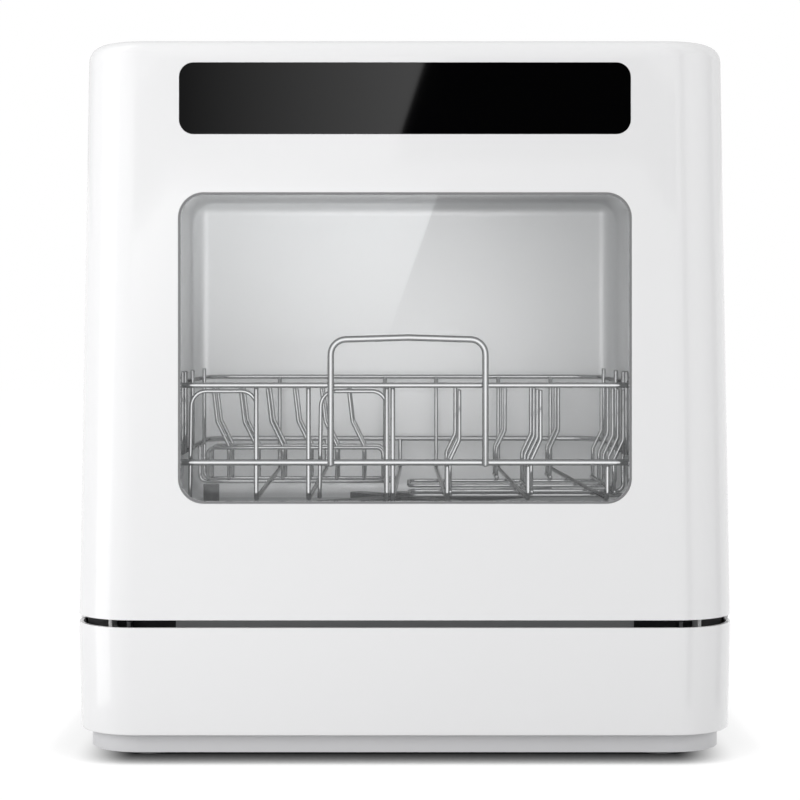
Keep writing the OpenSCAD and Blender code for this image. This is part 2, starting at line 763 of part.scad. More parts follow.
module wash_pump_rotor() {
    color([0.8, 0.8, 0.82]) translate([sump_x, pump_y, pump_z]) rotate([-90, 0, 0]) {
        translate([0, 0, 10]) cylinder(h = 70, r = shaft_r);
        translate([0, 0, 18]) cylinder(h = 3, r = pump_r - 5);
        translate([0, 0, 8]) cylinder(h = 10, r = 7);
        translate([0, 0, 9]) vanes(6, 5, pump_r - 5.5, 10, 1.8);
    }
}

// Flow-through heater in the pressure line
heater_x = [-14, 26];

module heater() {
    color([0.7, 0.7, 0.72]) translate([0, pump_y + 13, line_z]) rotate([0, 90, 0]) difference() {
        union() {
            translate([0, 0, heater_x[0]]) cylinder(h = heater_x[1] - heater_x[0], r = 14);
            for (z = [heater_x[0] + 4, heater_x[1] - 10]) translate([0, 0, z]) cylinder(h = 6, r = 16);
        }
        translate([0, 0, -big / 2]) cylinder(h = big, r = 6.5);
    }
}

drain_pump_x = sump_x + 50;
drain_out_x = drain_pump_x + 9;
drain_turn_y = pocket_y - 53.5;
drain_pump_z = sump_low + 10;
socket = drain_pump_x - sump_x - throat_r - 3 - slack;   // inlet that sleeves the sump's port

module drain_pump_body() {
    color([0.3, 0.3, 0.32]) translate([drain_pump_x, sump_y, drain_pump_z]) difference() {
        union() {
            rotate([0, 90, 0]) cylinder(h = 24, r = 19);
            translate([24 - thin, 0, 0]) rotate([0, 90, 0]) cylinder(h = 24, r = 15);
            translate([-socket, 0, 0]) rotate([0, 90, 0]) cylinder(h = socket, r = 9.2);
            translate([4, -8, floor_z - drain_pump_z]) cube([16, 16, drain_pump_z - floor_z - 16]);
            translate([drain_out_x - drain_pump_x, 0, 0]) rotate([-90, 0, 0]) cylinder(h = 34, r = 8);
        }
        translate([-socket - over, 0, 0]) rotate([0, 90, 0]) cylinder(h = socket - 10, r = 8 + fit);
        translate([-12, 0, 0]) rotate([0, 90, 0]) cylinder(h = 18, r = 6);
        translate([3, 0, 0]) rotate([0, 90, 0]) cylinder(h = 16, r = 16);
        rotate([0, 90, 0]) cylinder(h = 40, r = 2 + fit);
        translate([drain_out_x - drain_pump_x, 0, 0]) rotate([-90, 0, 0]) cylinder(h = 50, r = 5);
    }
}

module drain_pump_rotor() {
    color([0.85, 0.85, 0.87]) translate([drain_pump_x, sump_y, drain_pump_z]) rotate([0, 90, 0]) {
        translate([0, 0, 5]) cylinder(h = 34, r = 2);
        translate([0, 0, 13]) cylinder(h = 2, r = 14);
        translate([0, 0, 6]) vanes(4, 1, 13.5, 8, 1.8);
    }
}

module drain_hose() {
    color([0.3, 0.3, 0.31]) hose([[drain_out_x, sump_y + 34, drain_pump_z],
        [drain_out_x, drain_turn_y, drain_pump_z], [drain_x, drain_turn_y, port_z],
        [drain_x, pocket_y - pocket_wall - 4, port_z]], 22, 16, 11);
}

module drain_spigot() {
    color([0.3, 0.3, 0.31]) translate([drain_x, pocket_y, port_z]) rotate([-90, 0, 0]) difference() {
        union() {
            translate([0, 0, -pocket_wall - 4]) cylinder(h = 30 + pocket_wall, r = drain_r);
            cylinder(h = 2, r = drain_r + 4);
        }
        translate([0, 0, -20]) cylinder(h = big, r = drain_r - 2.5);
    }
}

inlet_len = 14;

module inlet_valve() {
    color([0.9, 0.9, 0.9]) translate([inlet_x, pocket_y, port_z]) rotate([-90, 0, 0]) difference() {
        union() {
            translate([0, 0, -pocket_wall - 6]) cylinder(h = inlet_len + pocket_wall + 6, r = inlet_r);
            cylinder(h = 2, r = inlet_r + 4);
            translate([-16, -16, -pocket_wall - 36]) cube([32, 32, 34]);
            translate([0, 0, -pocket_wall - 52]) cylinder(h = 18, r = 6);
        }
        translate([0, 0, -4]) cylinder(h = big, r = inlet_r - 3);
        translate([0, 0, -big / 2]) cylinder(h = big, r = 3.5);
    }
}

gland_r = 7.5;

module cable_gland() {
    color([0.15, 0.15, 0.16]) translate([cable_x, pocket_y, port_z]) rotate([-90, 0, 0]) difference() {
        union() {
            translate([0, 0, -pocket_wall - 6]) cylinder(h = 18, r = gland_r);
            cylinder(h = 4, r = gland_r + 3, $fn = 6);
            translate([0, 0, -pocket_wall - 6]) cylinder(h = 6, r = gland_r + 3, $fn = 6);
        }
        translate([0, 0, -20]) cylinder(h = 40, r = cable_r);
    }
}

// Pressure line, tank line and inlet line
module water_hoses() {
    color([0.5, 0.52, 0.54]) {
        // pump outlet up and across into the heater, then to the spray arm's post
        hose([[sump_x - pump_r + 9, pump_y + 13, line_z - 16],
            [sump_x - pump_r + 9, pump_y + 13, line_z], [heater_x[1], pump_y + 13, line_z]], 12, 18, 13);
        hose([[heater_x[0], pump_y + 13, line_z], [-32, pump_y + 13, line_z], [-32, tub_mid_y, line_z],
            [0, tub_mid_y, line_z], [0, tub_mid_y, post_low]], 11, 14, 10);
        // sump down and round into the pump's eye
        hose([[sump_x, sump_y, sump_low - 12], [sump_x, sump_y, pump_z], [sump_x, pump_y, pump_z]],
            12, 20, 16);
        // tank to sump
        hose([[tank_x[1], tank_port_y, tank_port_z], [10, tank_port_y, tank_port_z],
            [10, sump_y, tank_port_z], [10, sump_y, sump_low + 10],
            [sump_x - throat_r - 14, sump_y, sump_low + 10]], 12, 14, 10);
        // inlet valve to tank
        hose([[inlet_x, pocket_y - pocket_wall - 52, port_z], [inlet_x, inlet_line_y, port_z],
            [tank_x[1], inlet_line_y, port_z]], 16, 12, 8);
    }
}

tank_x = [10 - body_w / 2, -58];
tank_y = [front + 77.5, rear - 39.5];
tank_top = 104;
tank_t = 2;
tank_port_y = sump_y - 38;
inlet_line_y = pocket_y - 83.5;
tank_z = base_z + wall + slack;   // above the base's flange
tank_port_z = tank_z + 8;
pipe_x = 20 - body_w / 2;
pipe_r = 8.5;

module water_tank() {
    color([0.8, 0.85, 0.88]) difference() {
        union() {
            tank_block(0, tank_z, tank_top);
            translate([pipe_x, fill_y, tank_top - 2]) cylinder(h = 8, r = pipe_r + 2);
            for (x = [tank_x[0] + 20, tank_x[1] - 20], y = [tank_y[0] + 20, tank_y[1] - 20])
                translate([x, y, floor_z]) cylinder(h = tank_z + tank_t - floor_z, r = 8);
        }
        tank_block(tank_t, tank_z + tank_t, tank_top - tank_t);
        translate([pipe_x, fill_y, tank_top - 10]) cylinder(h = 30, r = pipe_r - 2);
        translate([pipe_x, fill_y, tank_top]) cylinder(h = 30, r = pipe_r + fit);
        translate([tank_x[1] - 10, tank_port_y, tank_port_z]) rotate([0, 90, 0]) cylinder(h = 20, r = 5);
        translate([tank_x[1] - 10, inlet_line_y, port_z]) rotate([0, 90, 0]) cylinder(h = 20, r = 4);
    }
}

module tank_block(inset, z0, z1) {
    translate([(tank_x[0] + tank_x[1]) / 2, (tank_y[0] + tank_y[1]) / 2, z0]) linear_extrude(z1 - z0)
        rounded(tank_x[1] - tank_x[0] - 2 * inset, tank_y[1] - tank_y[0] - 2 * inset, 10 - inset);
}

cup_low = cover_z - 32;
pipe_z = cup_low - 17;     // height of the pipe's run over the tub

module fill_pipe() {
    color([0.85, 0.87, 0.88]) {
        difference() {
            translate([fill_x, fill_y, cup_low]) cylinder(h = cover_z - 2 - cup_low, r = fill_r + 2);
            translate([fill_x, fill_y, cup_low + 2]) cylinder(h = 60, r = fill_r);
            translate([fill_x, fill_y, cup_low - 2]) cylinder(h = 10, r = pipe_r - 2);
        }
        hose([[fill_x, fill_y, cup_low], [fill_x, fill_y, pipe_z], [pipe_x, fill_y, pipe_z],
            [pipe_x, fill_y, tank_top + fit]], 11, 2 * pipe_r, 2 * pipe_r - 4);
    }
}

// ---------------------------------------------------------------- drying fan and electrics

fan_z = tub_over;
vent_x = tub_vent[0];
vent_z = fan_z + 28.4;
fan_r = 46;
fan_h = 42;

module fan_housing() {
    color([0.3, 0.3, 0.31]) difference() {
        union() {
            translate([tub_vent[0], tub_vent[1], fan_z]) cylinder(h = fan_h, r = fan_r);
            box([vent_x - 30, tub_vent[1], fan_z + 8], [vent_x + 30, rear - wall - fit, fan_z + fan_h]);
        }
        translate([tub_vent[0], tub_vent[1], fan_z + 3]) cylinder(h = fan_h - 5, r = fan_r - 2);
        box([vent_x - 28, tub_vent[1], fan_z + 10], [vent_x + 28, rear, fan_z + fan_h - 2]);
        translate([tub_vent[0], tub_vent[1], fan_z - over]) cylinder(h = 10, r = tub_vent[2]);
        translate([tub_vent[0], tub_vent[1], fan_z]) cylinder(h = 80, r = 2.5 + fit);
    }
}

module fan_rotor() {
    color([0.2, 0.2, 0.2]) translate([tub_vent[0], tub_vent[1], fan_z]) {
        translate([0, 0, 10]) cylinder(h = fan_h - 8, r = 2.5);
        translate([0, 0, fan_h - 8]) cylinder(h = 3, r = fan_r - 8);
        difference() {
            translate([0, 0, fan_h - 24]) cylinder(h = 17, r = 18);
            translate([0, 0, fan_h - 26]) cylinder(h = 16, r = 15.5);
        }
        translate([0, 0, fan_h - 27]) vanes(18, fan_r - 17, fan_r - 8, 20, 1.2);
    }
}

board = [[pocket_x[0] + 42, pocket_y - 131.5, 18], [pocket_x[1] - 2, pocket_y - 21.5, 19.6]];

module power_board() {
    color([0.15, 0.4, 0.25]) {
        box(board[0], board[1]);
        for (x = [board[0].x + 5, board[1].x - 5], y = [board[0].y + 5, board[1].y - 5])
            translate([x, y, floor_z]) cylinder(h = board[0].z - floor_z, r = 3);
    }
    color([0.2, 0.2, 0.2]) translate([board[0].x, board[0].y, board[1].z]) {
        box([12, 8, 0], [42, 38, 24]);
        box([52, 12, 0], [72, 28, 16]);
        box([52, 32, 0], [72, 48, 16]);
        box([16, 74, 0], [78, 102, 12]);
        translate([22, 56, 0]) cylinder(h = 22, r = 8);
        translate([44, 58, 0]) cylinder(h = 18, r = 6);
    }
}

hook_w = 22;
hook_z = body_h - 34;
hook_t = 4;
hook_end = back(76);

module latch_housing() {
    color([0.3, 0.3, 0.31]) difference() {
        box([-20, tub_y, hook_z - 20], [20, tub_y + 40, hook_z + 16]);
        box([-hook_w / 2 - 3, tub_y - over, hook_z - 17], [hook_w / 2 + 3, tub_y + 37, hook_z + 13]);
        translate([-big / 2, cam_y, cam_z]) rotate([0, 90, 0]) cylinder(h = big, r = 2);
    }
}

cam_y = tub_y + 12;
cam_z = hook_z - 11;

// Sprung cam that holds the hook's nose; it dips to let the nose pass
module latch_cam() {
    color([0.8, 0.8, 0.8]) {
        translate([-19.5, cam_y, cam_z]) rotate([0, 90, 0]) cylinder(h = 39, r = 2 - fit);
        translate([-7, cam_y, cam_z]) rotate([0, 90, 0]) cylinder(h = 14, r = 4);
        box([-7, cam_y - 2, cam_z], [7, cam_y + 5, hook_z - slack]);
    }
}

module door_latch_hook() {
    color([0.85, 0.85, 0.86]) {
        box([-hook_w / 2, liner_y, hook_z - 8], [hook_w / 2, liner_y + 3, hook_z + 10]);
        box([-hook_w / 2 + 4, liner_y, hook_z], [hook_w / 2 - 4, hook_end, hook_z + hook_t]);
        box([-hook_w / 2 + 4, hook_end - 5, hook_z - 1], [hook_w / 2 - 4, hook_end, hook_z + hook_t]);
    }
}

// The door switch beside the hook and the float's switch under the tub
module microswitches() {
    color([0.12, 0.12, 0.13]) {
        box([20, tub_y + 4, hook_z - 6], [27, tub_y + 32, hook_z + 10]);
        box([float_x + 8, float_y - 14, tub_under - 16], [float_x + 15, float_y + 14, tub_under]);
    }
}

module float() {
    color([0.2, 0.2, 0.21]) translate([float_x, float_y, 0]) {
        translate([0, 0, tub_floor + slack]) cylinder(h = 14, r = float_r);
        translate([0, 0, tub_under - 12]) cylinder(h = 16, r = float_stem_r);
    }
}

// ---------------------------------------------------------------- door

slot_w = bracket_t + 1.6;

module door_outer_panel() {
    color([0.96, 0.96, 0.97]) difference() {
        intersection() {
            difference() {
                case_block(0, door_z);
                case_block(wall, door_z + wall);
            }
            translate([-big / 2, front - over, 0]) cube([big, door_d + over, big]);
        }
        upright_plate(window_w + 2 * gasket_w, window_h + 2 * gasket_w, window_r + gasket_w, window_z,
            front - over, front + wall + over);
        upright_plate(panel_w + 2 * fit, panel_h + 2 * fit, panel_r + fit, panel_z,
            front - over, front + panel_t);
        upright_plate(panel_w - 12, panel_h - 12, panel_r - 5, panel_z, front - over, front + wall + over);
        for (s = [-1, 1]) box([s * hinge_x - slot_w / 2, front + wall, door_z - over],
            [s * hinge_x + slot_w / 2, pivot_y + 25, door_z + wall + over]);
    }
}

module control_panel_glass() {
    color([0.02, 0.02, 0.02]) upright_plate(panel_w, panel_h, panel_r, panel_z, front, front + panel_t);
}

// Touch board behind the panel's glass
module touch_board() {
    color([0.1, 0.35, 0.2]) {
        upright_plate(panel_w - 14, panel_h - 14, 3, panel_z, front + panel_t, front + panel_t + 1.6);
        box([-50, front + panel_t + 1.6, panel_z - 9], [50, front + panel_t + 6, panel_z + 9]);
    }
}

glass_y = front + 0.6;

module window_glass_outer() {
    color([0.8, 0.85, 0.88, 0.25])
        upright_plate(window_w, window_h, window_r, window_z, glass_y, glass_y + glass_t);
}

// Dark gasket round the outer pane, with a lip behind it
module window_gasket() {
    color([0.25, 0.25, 0.26]) difference() {
        union() {
            upright_plate(window_w + 2 * gasket_w - 2 * fit, window_h + 2 * gasket_w - 2 * fit,
                window_r + gasket_w - fit, window_z, front + 0.3, front + wall);
            upright_plate(tunnel_w + 4, tunnel_h + 4, tunnel_r + 2, window_z,
                front + wall, glass_y + glass_t);
        }
        upright_plate(window_w + 2 * fit, window_h + 2 * fit, window_r + fit, window_z,
            front - over, back(20));
    }
}

inner_glass_y = liner_y - glass_t;

module window_glass_inner() {
    color([0.8, 0.85, 0.88, 0.25])
        upright_plate(tunnel_w - 2 * fit, tunnel_h - 2 * fit, tunnel_r - fit, window_z,
            inner_glass_y, liner_y - fit);
}

liner_gap = wall + slack;
liner_low = half_at(door_z) - liner_gap;
liner_high = half_at(cover_z) - liner_gap;

// Inner skin of the door with the tunnel between its two panes
module door_inner_liner() {
    color([0.9, 0.9, 0.91]) difference() {
        union() {
            translate([0, liner_y, 0]) rotate([90, 0, 0]) linear_extrude(liner_t) polygon([
                [-liner_low, door_z + liner_gap], [liner_low, door_z + liner_gap],
                [liner_high, cover_z], [liner_high - 8, body_h - liner_gap],
                [-liner_high + 8, body_h - liner_gap], [-liner_high, cover_z]]);
            upright_plate(tunnel_w + 4, tunnel_h + 4, tunnel_r + 2, window_z, glass_y + glass_t, liner_y);
        }
        upright_plate(tunnel_w, tunnel_h, tunnel_r, window_z, front, liner_y + over);
        for (s = [-1, 1]) box([s * hinge_x - slot_w / 2 - 4, liner_y - 4, door_z - over],
            [s * hinge_x + slot_w / 2 + 4, liner_y + over, door_z + 5]);
        for (x = door_screw_x, z = door_screw_z) translate([x, liner_y + over, z]) rotate([90, 0, 0])
            cylinder(h = 5, r = 1.7);
        box([-soap_w / 2, liner_y - 12, soap_z[0]], [soap_w / 2, liner_y + over, soap_z[1]]);
    }
    // detergent recess, moulded under the inner pane
    color([0.9, 0.9, 0.91]) difference() {
        box([-soap_w / 2 - 2, liner_y - 14, soap_z[0] - 2], [soap_w / 2 + 2, liner_y, soap_z[1] + 2]);
        box([-soap_w / 2, liner_y - 12, soap_z[0]], [soap_w / 2, liner_y + over, soap_z[1]]);
    }
}

soap_w = 72;
soap_z = [104, 140];
door_screw_x = [20 - body_w / 2, body_w / 2 - 20];
door_screw_z = [door_z + 65, (door_z + body_h) / 2, body_h - 25];

module door_screws() {
    color([0.6, 0.6, 0.62]) for (x = door_screw_x, z = door_screw_z)
        translate([x, liner_y + 1.4, z]) rotate([90, 0, 0]) {
            cylinder(h = 1.4, r = 3.4);
            cylinder(h = 10, r = 1.65);
        }
}

cheek_t = 2;
cheek_in = bracket_t / 2 + 0.4;

// Steel arms inside the door, one clevis at each side, with the hinge pins
module door_hinge_arms() {
    color([0.6, 0.61, 0.62]) for (s = [-1, 1]) translate([s * hinge_x, 0, 0]) {
        for (x = [-cheek_in - cheek_t, cheek_in]) {
            translate([x, pivot_y, pivot_z]) rotate([0, 90, 0]) cylinder(h = cheek_t, r = 4);
            box([x, pivot_y - 2, pivot_z], [x + cheek_t, pivot_y + 4, pivot_z + 95]);
        }
        box([-cheek_in - cheek_t, pivot_y - 2, pivot_z + 12], [cheek_in + cheek_t, pivot_y, pivot_z + 95]);
        box([-cheek_in - cheek_t, pivot_y, pivot_z + 60],
            [cheek_in + cheek_t, liner_y - liner_t, pivot_z + 95]);
        translate([-cheek_in - cheek_t - 1, pivot_y, pivot_z]) rotate([0, 90, 0])
            cylinder(h = 2 * (cheek_in + cheek_t + 1), r = pin_d / 2);
    }
}

// ---------------------------------------------------------------- rack

rack_f = back(rack_in);
rack_b = back(rack_in + rack_d);
rail_in = low_rail_d / 2 + upright_d / 2 - weld;       // middle of a wire welded inside the lower rail
up_f = rack_f + rail_in;
up_b = rack_b - rail_in;
cross_d = upright_d - 0.2;
cross_z = floor_wire_z - (upright_d + cross_d) / 2 + weld;
bend = 5;
side_x = rack_w / 2 - rail_in;
top_in = low_rail_d - top_rail_d;   // the thinner top rail meets the uprights' same outer side

module rack_rails() {
    color([0.75, 0.76, 0.77]) {
        wire_ring(rack_w - top_in, rack_d - top_in, rack_r, tub_mid_y, top_rail_z, top_rail_d);
        wire_ring(rack_w, rack_d, rack_r, tub_mid_y, low_rail_z, low_rail_d);
        for (s = [-1, 1], y = side_posts)
            rod([s * side_x, y, low_rail_z], [s * side_x, y, top_rail_z + 8], upright_d);
    }
}

// The wires' places are given on a rack of this width and depth, from its middle and its front rail
drawn_w = 320;
drawn_d = 319;

function across(x) = x * rack_w / drawn_w;
function along(d) = rack_f + d * rack_d / drawn_d;

side_posts = [for (d = [90, 108, 155, 240]) along(d)];

// Lengthwise wires: front x, rear x, top of the front upright, top of the rear upright
long_wires = [
    [-98, -102, top_rail_z, top_rail_z],
    [-63.5, -63.5, top_rail_z, low_rail_z],
    [-11.8, -15.5, top_rail_z, top_rail_z],
    [-7.9, -3, top_rail_z, low_rail_z],
    [28, 26.6, low_rail_z, top_rail_z],
    [81.4, 77.7, low_rail_z, top_rail_z],
    [133.7, 120.6, low_rail_z, top_rail_z]];

cross_y = [for (d = [71.7, 110, 162, 212]) along(d)];
left_y = [for (d = [207, 241]) along(d)];
loop_x = across(3.6);

module rack_floor() {
    color([0.72, 0.73, 0.74]) {
        for (w = long_wires) wire([[across(w[0]), up_f, w[2]], [across(w[0]), up_f, floor_wire_z],
            [across(w[1]), up_b, floor_wire_z], [across(w[1]), up_b, w[3]]], bend, upright_d);
        // two long loops on the right, and one wire on the left
        for (k = [0, 2]) wire([[side_x, cross_y[k], low_rail_z], [side_x, cross_y[k], cross_z],
            [loop_x, cross_y[k], cross_z], [loop_x, cross_y[k + 1], cross_z],
            [side_x, cross_y[k + 1], cross_z], [side_x, cross_y[k + 1], low_rail_z]], bend, cross_d);
        for (y = left_y)
            wire([[-side_x, y, low_rail_z], [-side_x, y, cross_z], [across(-5), y, cross_z]], bend, cross_d);
    }
}

hoop_y = up_f + (upright_d + tine_d) / 2 - weld;
hoops = [[across(-142), across(-98)], [across(-56.3), across(-11.8)]];

// Two hoops for cups, each running into an upright
module cup_hoops() {
    color([0.74, 0.75, 0.76]) for (h = hoops)
        wire([[h[0], hoop_y, floor_wire_z], [h[0] + 1, hoop_y, top_rail_z - 4],
            [h[1], hoop_y, top_rail_z - 4], [h[1], hoop_y, top_rail_z - 22]], 10, tine_d);
}

tine_top = 225;
tine_low = cross_z + cross_d / 2 - weld;   // where tines stand on the crosswise wires
left_tine_x = [for (k = [0:5]) across(-134.2 + 20.7 * k)];
left_ends = [across(-150), across(-16)];

// Two rows of plate tines that lean left, each with its stiffening wire
module left_tines() {
    color([0.72, 0.73, 0.74]) for (y = left_y) {
        for (x = left_tine_x) wire([[x, y, tine_low], [x, y, low_rail_z],
            [x - 9, y, low_rail_z + 18.5], [x - 12, y, tine_top]], bend, tine_d);
        ys = y - tine_d + weld;
        zs = low_rail_z - 1.5;
        wire([[left_ends[0], ys, tine_low], [left_ends[0], ys, zs],
            [left_ends[1], ys, zs], [left_ends[1], ys, tine_low]], bend, tine_d);
    }
}

// Rows of dog-leg tines that lean right: x of the row, depths of its tines
right_rows = [
    [31.4, [67, 100, 166]],
    [71, [212, 240]],
    [87.7, [67, 100, 133, 166]],
    [112, [212, 240]],
    [145, [67, 100, 133, 166, 212]]];

module right_tines() {
    color([0.72, 0.73, 0.74]) for (row = right_rows) {
        x = across(row[0]);
        n = len(row[1]) - 1;
        rod([x, along(row[1][0]) - 8, floor_wire_z], [x, along(row[1][n]) + 8, floor_wire_z], upright_d);
        for (d = row[1]) wire([[x, along(d), floor_wire_z], [x, along(d), low_rail_z - 2.5],
            [x + 6.6, along(d), low_rail_z + 11.4], [x + 6.6, along(d), tine_top + 2]], bend, tine_d);
    }
}

handle_y = rack_f - (low_rail_d + handle_d) / 2 + weld;
handle_x = 2.2;

module rack_handle() {
    color([0.78, 0.79, 0.8]) wire([[handle_x - handle_w / 2, handle_y, low_rail_z - 2.5],
        [handle_x - handle_w / 2, handle_y, handle_z - 1.5], [handle_x, handle_y, handle_z],
        [handle_x + handle_w / 2, handle_y, handle_z - 1.5],
        [handle_x + handle_w / 2, handle_y, low_rail_z - 2.5]], 10, handle_d);
}

base_shell();
base_plinth();
foot_pads();
gap_fascia();
side_panel_left();
side_panel_right();
rear_panel();
top_cover();
tub();
tub_front_frame();
door_seal();
hinge_brackets();
sump_bowl();
coarse_filter();
spray_bearing();
wash_pump_volute();
wash_pump_motor();
heater();
drain_pump_body();
drain_hose();
drain_spigot();
inlet_valve();
water_hoses();
water_tank();
fill_pipe();
fan_housing();
power_board();
latch_housing();
microswitches();
roller_axles();
cable_gland();
case_screws();
door_outer_panel();
control_panel_glass();
touch_board();
window_glass_outer();
window_gasket();
window_glass_inner();
door_inner_liner();
door_hinge_arms();
door_latch_hook();
door_screws();
tank_lid();
fine_filter();
spray_arm();
wash_pump_rotor();
drain_pump_rotor();
fan_rotor();
latch_cam();
float();
roller_front_left();
roller_front_right();
roller_rear_left();
roller_rear_right();
rack_rails();
rack_floor();
cup_hoops();
left_tines();
right_tines();
rack_handle();
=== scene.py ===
"""Looks of the countertop dishwasher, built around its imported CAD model."""
import json
import math

import bmesh
import bpy
from mathutils import Matrix, Vector


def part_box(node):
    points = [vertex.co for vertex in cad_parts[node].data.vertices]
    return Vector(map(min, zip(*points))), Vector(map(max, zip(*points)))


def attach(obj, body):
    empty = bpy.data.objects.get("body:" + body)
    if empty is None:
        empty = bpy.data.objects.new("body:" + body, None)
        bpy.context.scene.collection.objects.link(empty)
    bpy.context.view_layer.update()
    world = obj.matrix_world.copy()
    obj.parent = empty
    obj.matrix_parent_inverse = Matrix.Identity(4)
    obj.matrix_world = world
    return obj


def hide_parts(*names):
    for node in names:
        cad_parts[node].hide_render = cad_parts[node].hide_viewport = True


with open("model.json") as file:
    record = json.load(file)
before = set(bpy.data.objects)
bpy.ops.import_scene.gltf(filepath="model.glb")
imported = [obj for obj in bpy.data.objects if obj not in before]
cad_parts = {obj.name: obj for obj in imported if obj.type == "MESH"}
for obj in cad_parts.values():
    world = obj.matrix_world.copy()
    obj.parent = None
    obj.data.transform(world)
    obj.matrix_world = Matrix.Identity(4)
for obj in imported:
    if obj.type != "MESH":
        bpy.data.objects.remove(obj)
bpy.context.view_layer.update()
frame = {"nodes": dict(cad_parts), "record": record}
NODES = frame["nodes"]
RECORD = frame["record"]
MM = 0.001


def box_mm(node):
    """A CAD node's lowest and highest corners in millimetres, to a hundredth."""
    return [[round(c / MM, 2) for c in corner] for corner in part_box(node)]


# ------------------------------------------------------------------ the case's sizes, in millimetres
BASE, DOOR = box_mm("base_shell"), box_mm("door_outer_panel")
SIDE_PANEL, TUB = box_mm("side_panel_left"), box_mm("tub")
HALF, REAR, SPLIT_Z = BASE[1]
FRONT, BASE_Z = BASE[0][1:]
TOP = DOOR[1][2]
SLACK = 0.3                    # the gap between side panels and cover
DOOR_Z, COVER_Z = DOOR[0][2], SIDE_PANEL[1][2] + SLACK
DOOR_BACK, CASE_FRONT = DOOR[1][1], SIDE_PANEL[0][1]
SIDE_DRAFT, BASE_DRAFT = 6.4, 1.3
CORNER_R, REAR_R, FILLET, WALL = 40, 22, 10, 2.6
PANEL_HALF = HALF - REAR_R - SIDE_DRAFT
TUB_R, TUB_T = 13, 1.6
TUB_Y, TUB_REAR = TUB[0][1], 182.5
TUB_FLOOR_Z, TUB_TOP = 130, TUB[1][2] - TUB_T
TUB_W, TUB_H = 2 * (TUB[1][0] - TUB_T), TUB_TOP - TUB_FLOOR_Z
TUB_Z = (TUB_TOP + TUB_FLOOR_Z) / 2
ARC = 16                       # steps in a quarter circle
BIG = 600                      # past the whole case
PAST = 5                       # how far a cut starts before the face that it opens
SHY = 0.05                     # how far linings stay off the pieces beside them
SIDES = ((-1, "left"), (1, "right"))


# ------------------------------------------------------------------ mesh helpers
def mesh_object(name, verts, faces, scale=MM):
    me = bpy.data.meshes.new(name)
    me.from_pydata([[c * scale for c in v] for v in verts], [], faces)
    me.validate()
    return add_object(name, me)


def add_object(name, data):
    ob = bpy.data.objects.new(name, data)
    bpy.context.scene.collection.objects.link(ob)
    return ob


def outward(ob):
    bm = bmesh.new()
    bm.from_mesh(ob.data)
    bmesh.ops.recalc_face_normals(bm, faces=bm.faces)
    bm.to_mesh(ob.data)
    bm.free()
    return ob


def loft(name, rings):
    """A closed solid through rings of equal length, with flat ends."""
    n = len(rings[0])
    verts = [p for ring in rings for p in ring]
    faces = [tuple(range(n))[::-1], tuple(range(len(verts) - n, len(verts)))]
    for k in range(len(rings) - 1):
        a, b = k * n, (k + 1) * n
        faces += [(a + i, a + (i + 1) % n, b + (i + 1) % n, b + i) for i in range(n)]
    return outward(mesh_object(name, verts, faces))


def box(lo, hi, name="box"):
    ring = [(lo[0], lo[1]), (hi[0], lo[1]), (hi[0], hi[1]), (lo[0], hi[1])]
    return loft(name, [[(x, y, z) for x, y in ring] for z in (lo[2], hi[2])])


def circle(a, b, r, n):
    turns = (2 * math.pi * k / n for k in range(n))
    return [(a + r * math.cos(t), b + r * math.sin(t)) for t in turns]


def rod(x, y, z0, z1, r, n=64, name="rod"):
    """An upright round rod."""
    return loft(name, [[(px, py, z) for px, py in circle(x, y, r, n)] for z in (z0, z1)])


def rod_y(x, z, y0, y1, r, n=64, name="rod"):
    """A round rod along Y."""
    return loft(name, [[(px, y, pz) for px, pz in circle(x, z, r, n)] for y in (y0, y1)])


def rounded(w, h, r, n=ARC):
    """The outline of a rectangle with round corners."""
    pts = []
    for sx, sy, a0 in ((1, -1, -90), (1, 1, 0), (-1, 1, 90), (-1, -1, 180)):
        for k in range(n + 1):
            a = math.radians(a0 + 90 * k / n)
            pts.append((sx * (w / 2 - r) + r * math.cos(a), sy * (h / 2 - r) + r * math.sin(a)))
    return pts


def plate(w, h, r, z, y0, y1, name="plate"):
    """A rounded plate that stands in the XZ plane, from y0 to y1."""
    return loft(name, [[(px, y, z + pz) for px, pz in rounded(w, h, r)] for y in (y0, y1)])


def carve(ob, tool, op="DIFFERENCE"):
    mod = ob.modifiers.new("carve", "BOOLEAN")
    mod.operation, mod.object, mod.solver = op, tool, "EXACT"
    bpy.context.view_layer.update()
    evaluated = ob.evaluated_get(bpy.context.evaluated_depsgraph_get())
    done = bpy.data.meshes.new_from_object(evaluated)
    ob.modifiers.clear()
    old, ob.data = ob.data, done
    bpy.data.meshes.remove(old)
    bpy.data.objects.remove(tool)
    return ob


def tidy(ob, merge=1e-6):
    bm = bmesh.new()
    bm.from_mesh(ob.data)
    bmesh.ops.remove_doubles(bm, verts=bm.verts, dist=merge)
    bmesh.ops.dissolve_degenerate(bm, edges=bm.edges, dist=merge)
    bm.to_mesh(ob.data)
    bm.free()
    return ob


def smooth(ob, angle=35):
    ob.data.shade_smooth()
    ob.data.set_sharp_from_angle(angle=math.radians(angle))
    return ob


def edge(ob, width, segments=3, angle=38):
    """Rounds the sharp edges, so that they catch the light."""
    smooth(ob, angle)
    mod = ob.modifiers.new("edge", "BEVEL")
    mod.width, mod.segments, mod.limit_method = width * MM, segments, "ANGLE"
    mod.angle_limit = math.radians(angle)
    mod.use_clamp_overlap = True
    mod.harden_normals = True
    mod.miter_outer = "MITER_ARC"
    return ob


# ------------------------------------------------------------------ shader helpers
def add_node(nt, kind, **values):
    """A shader node, with some of its inputs set by name."""
    node = nt.nodes.new("ShaderNode" + kind)
    for key, value in values.items():
        node.inputs[key.replace("_", " ")].default_value = value
    return node


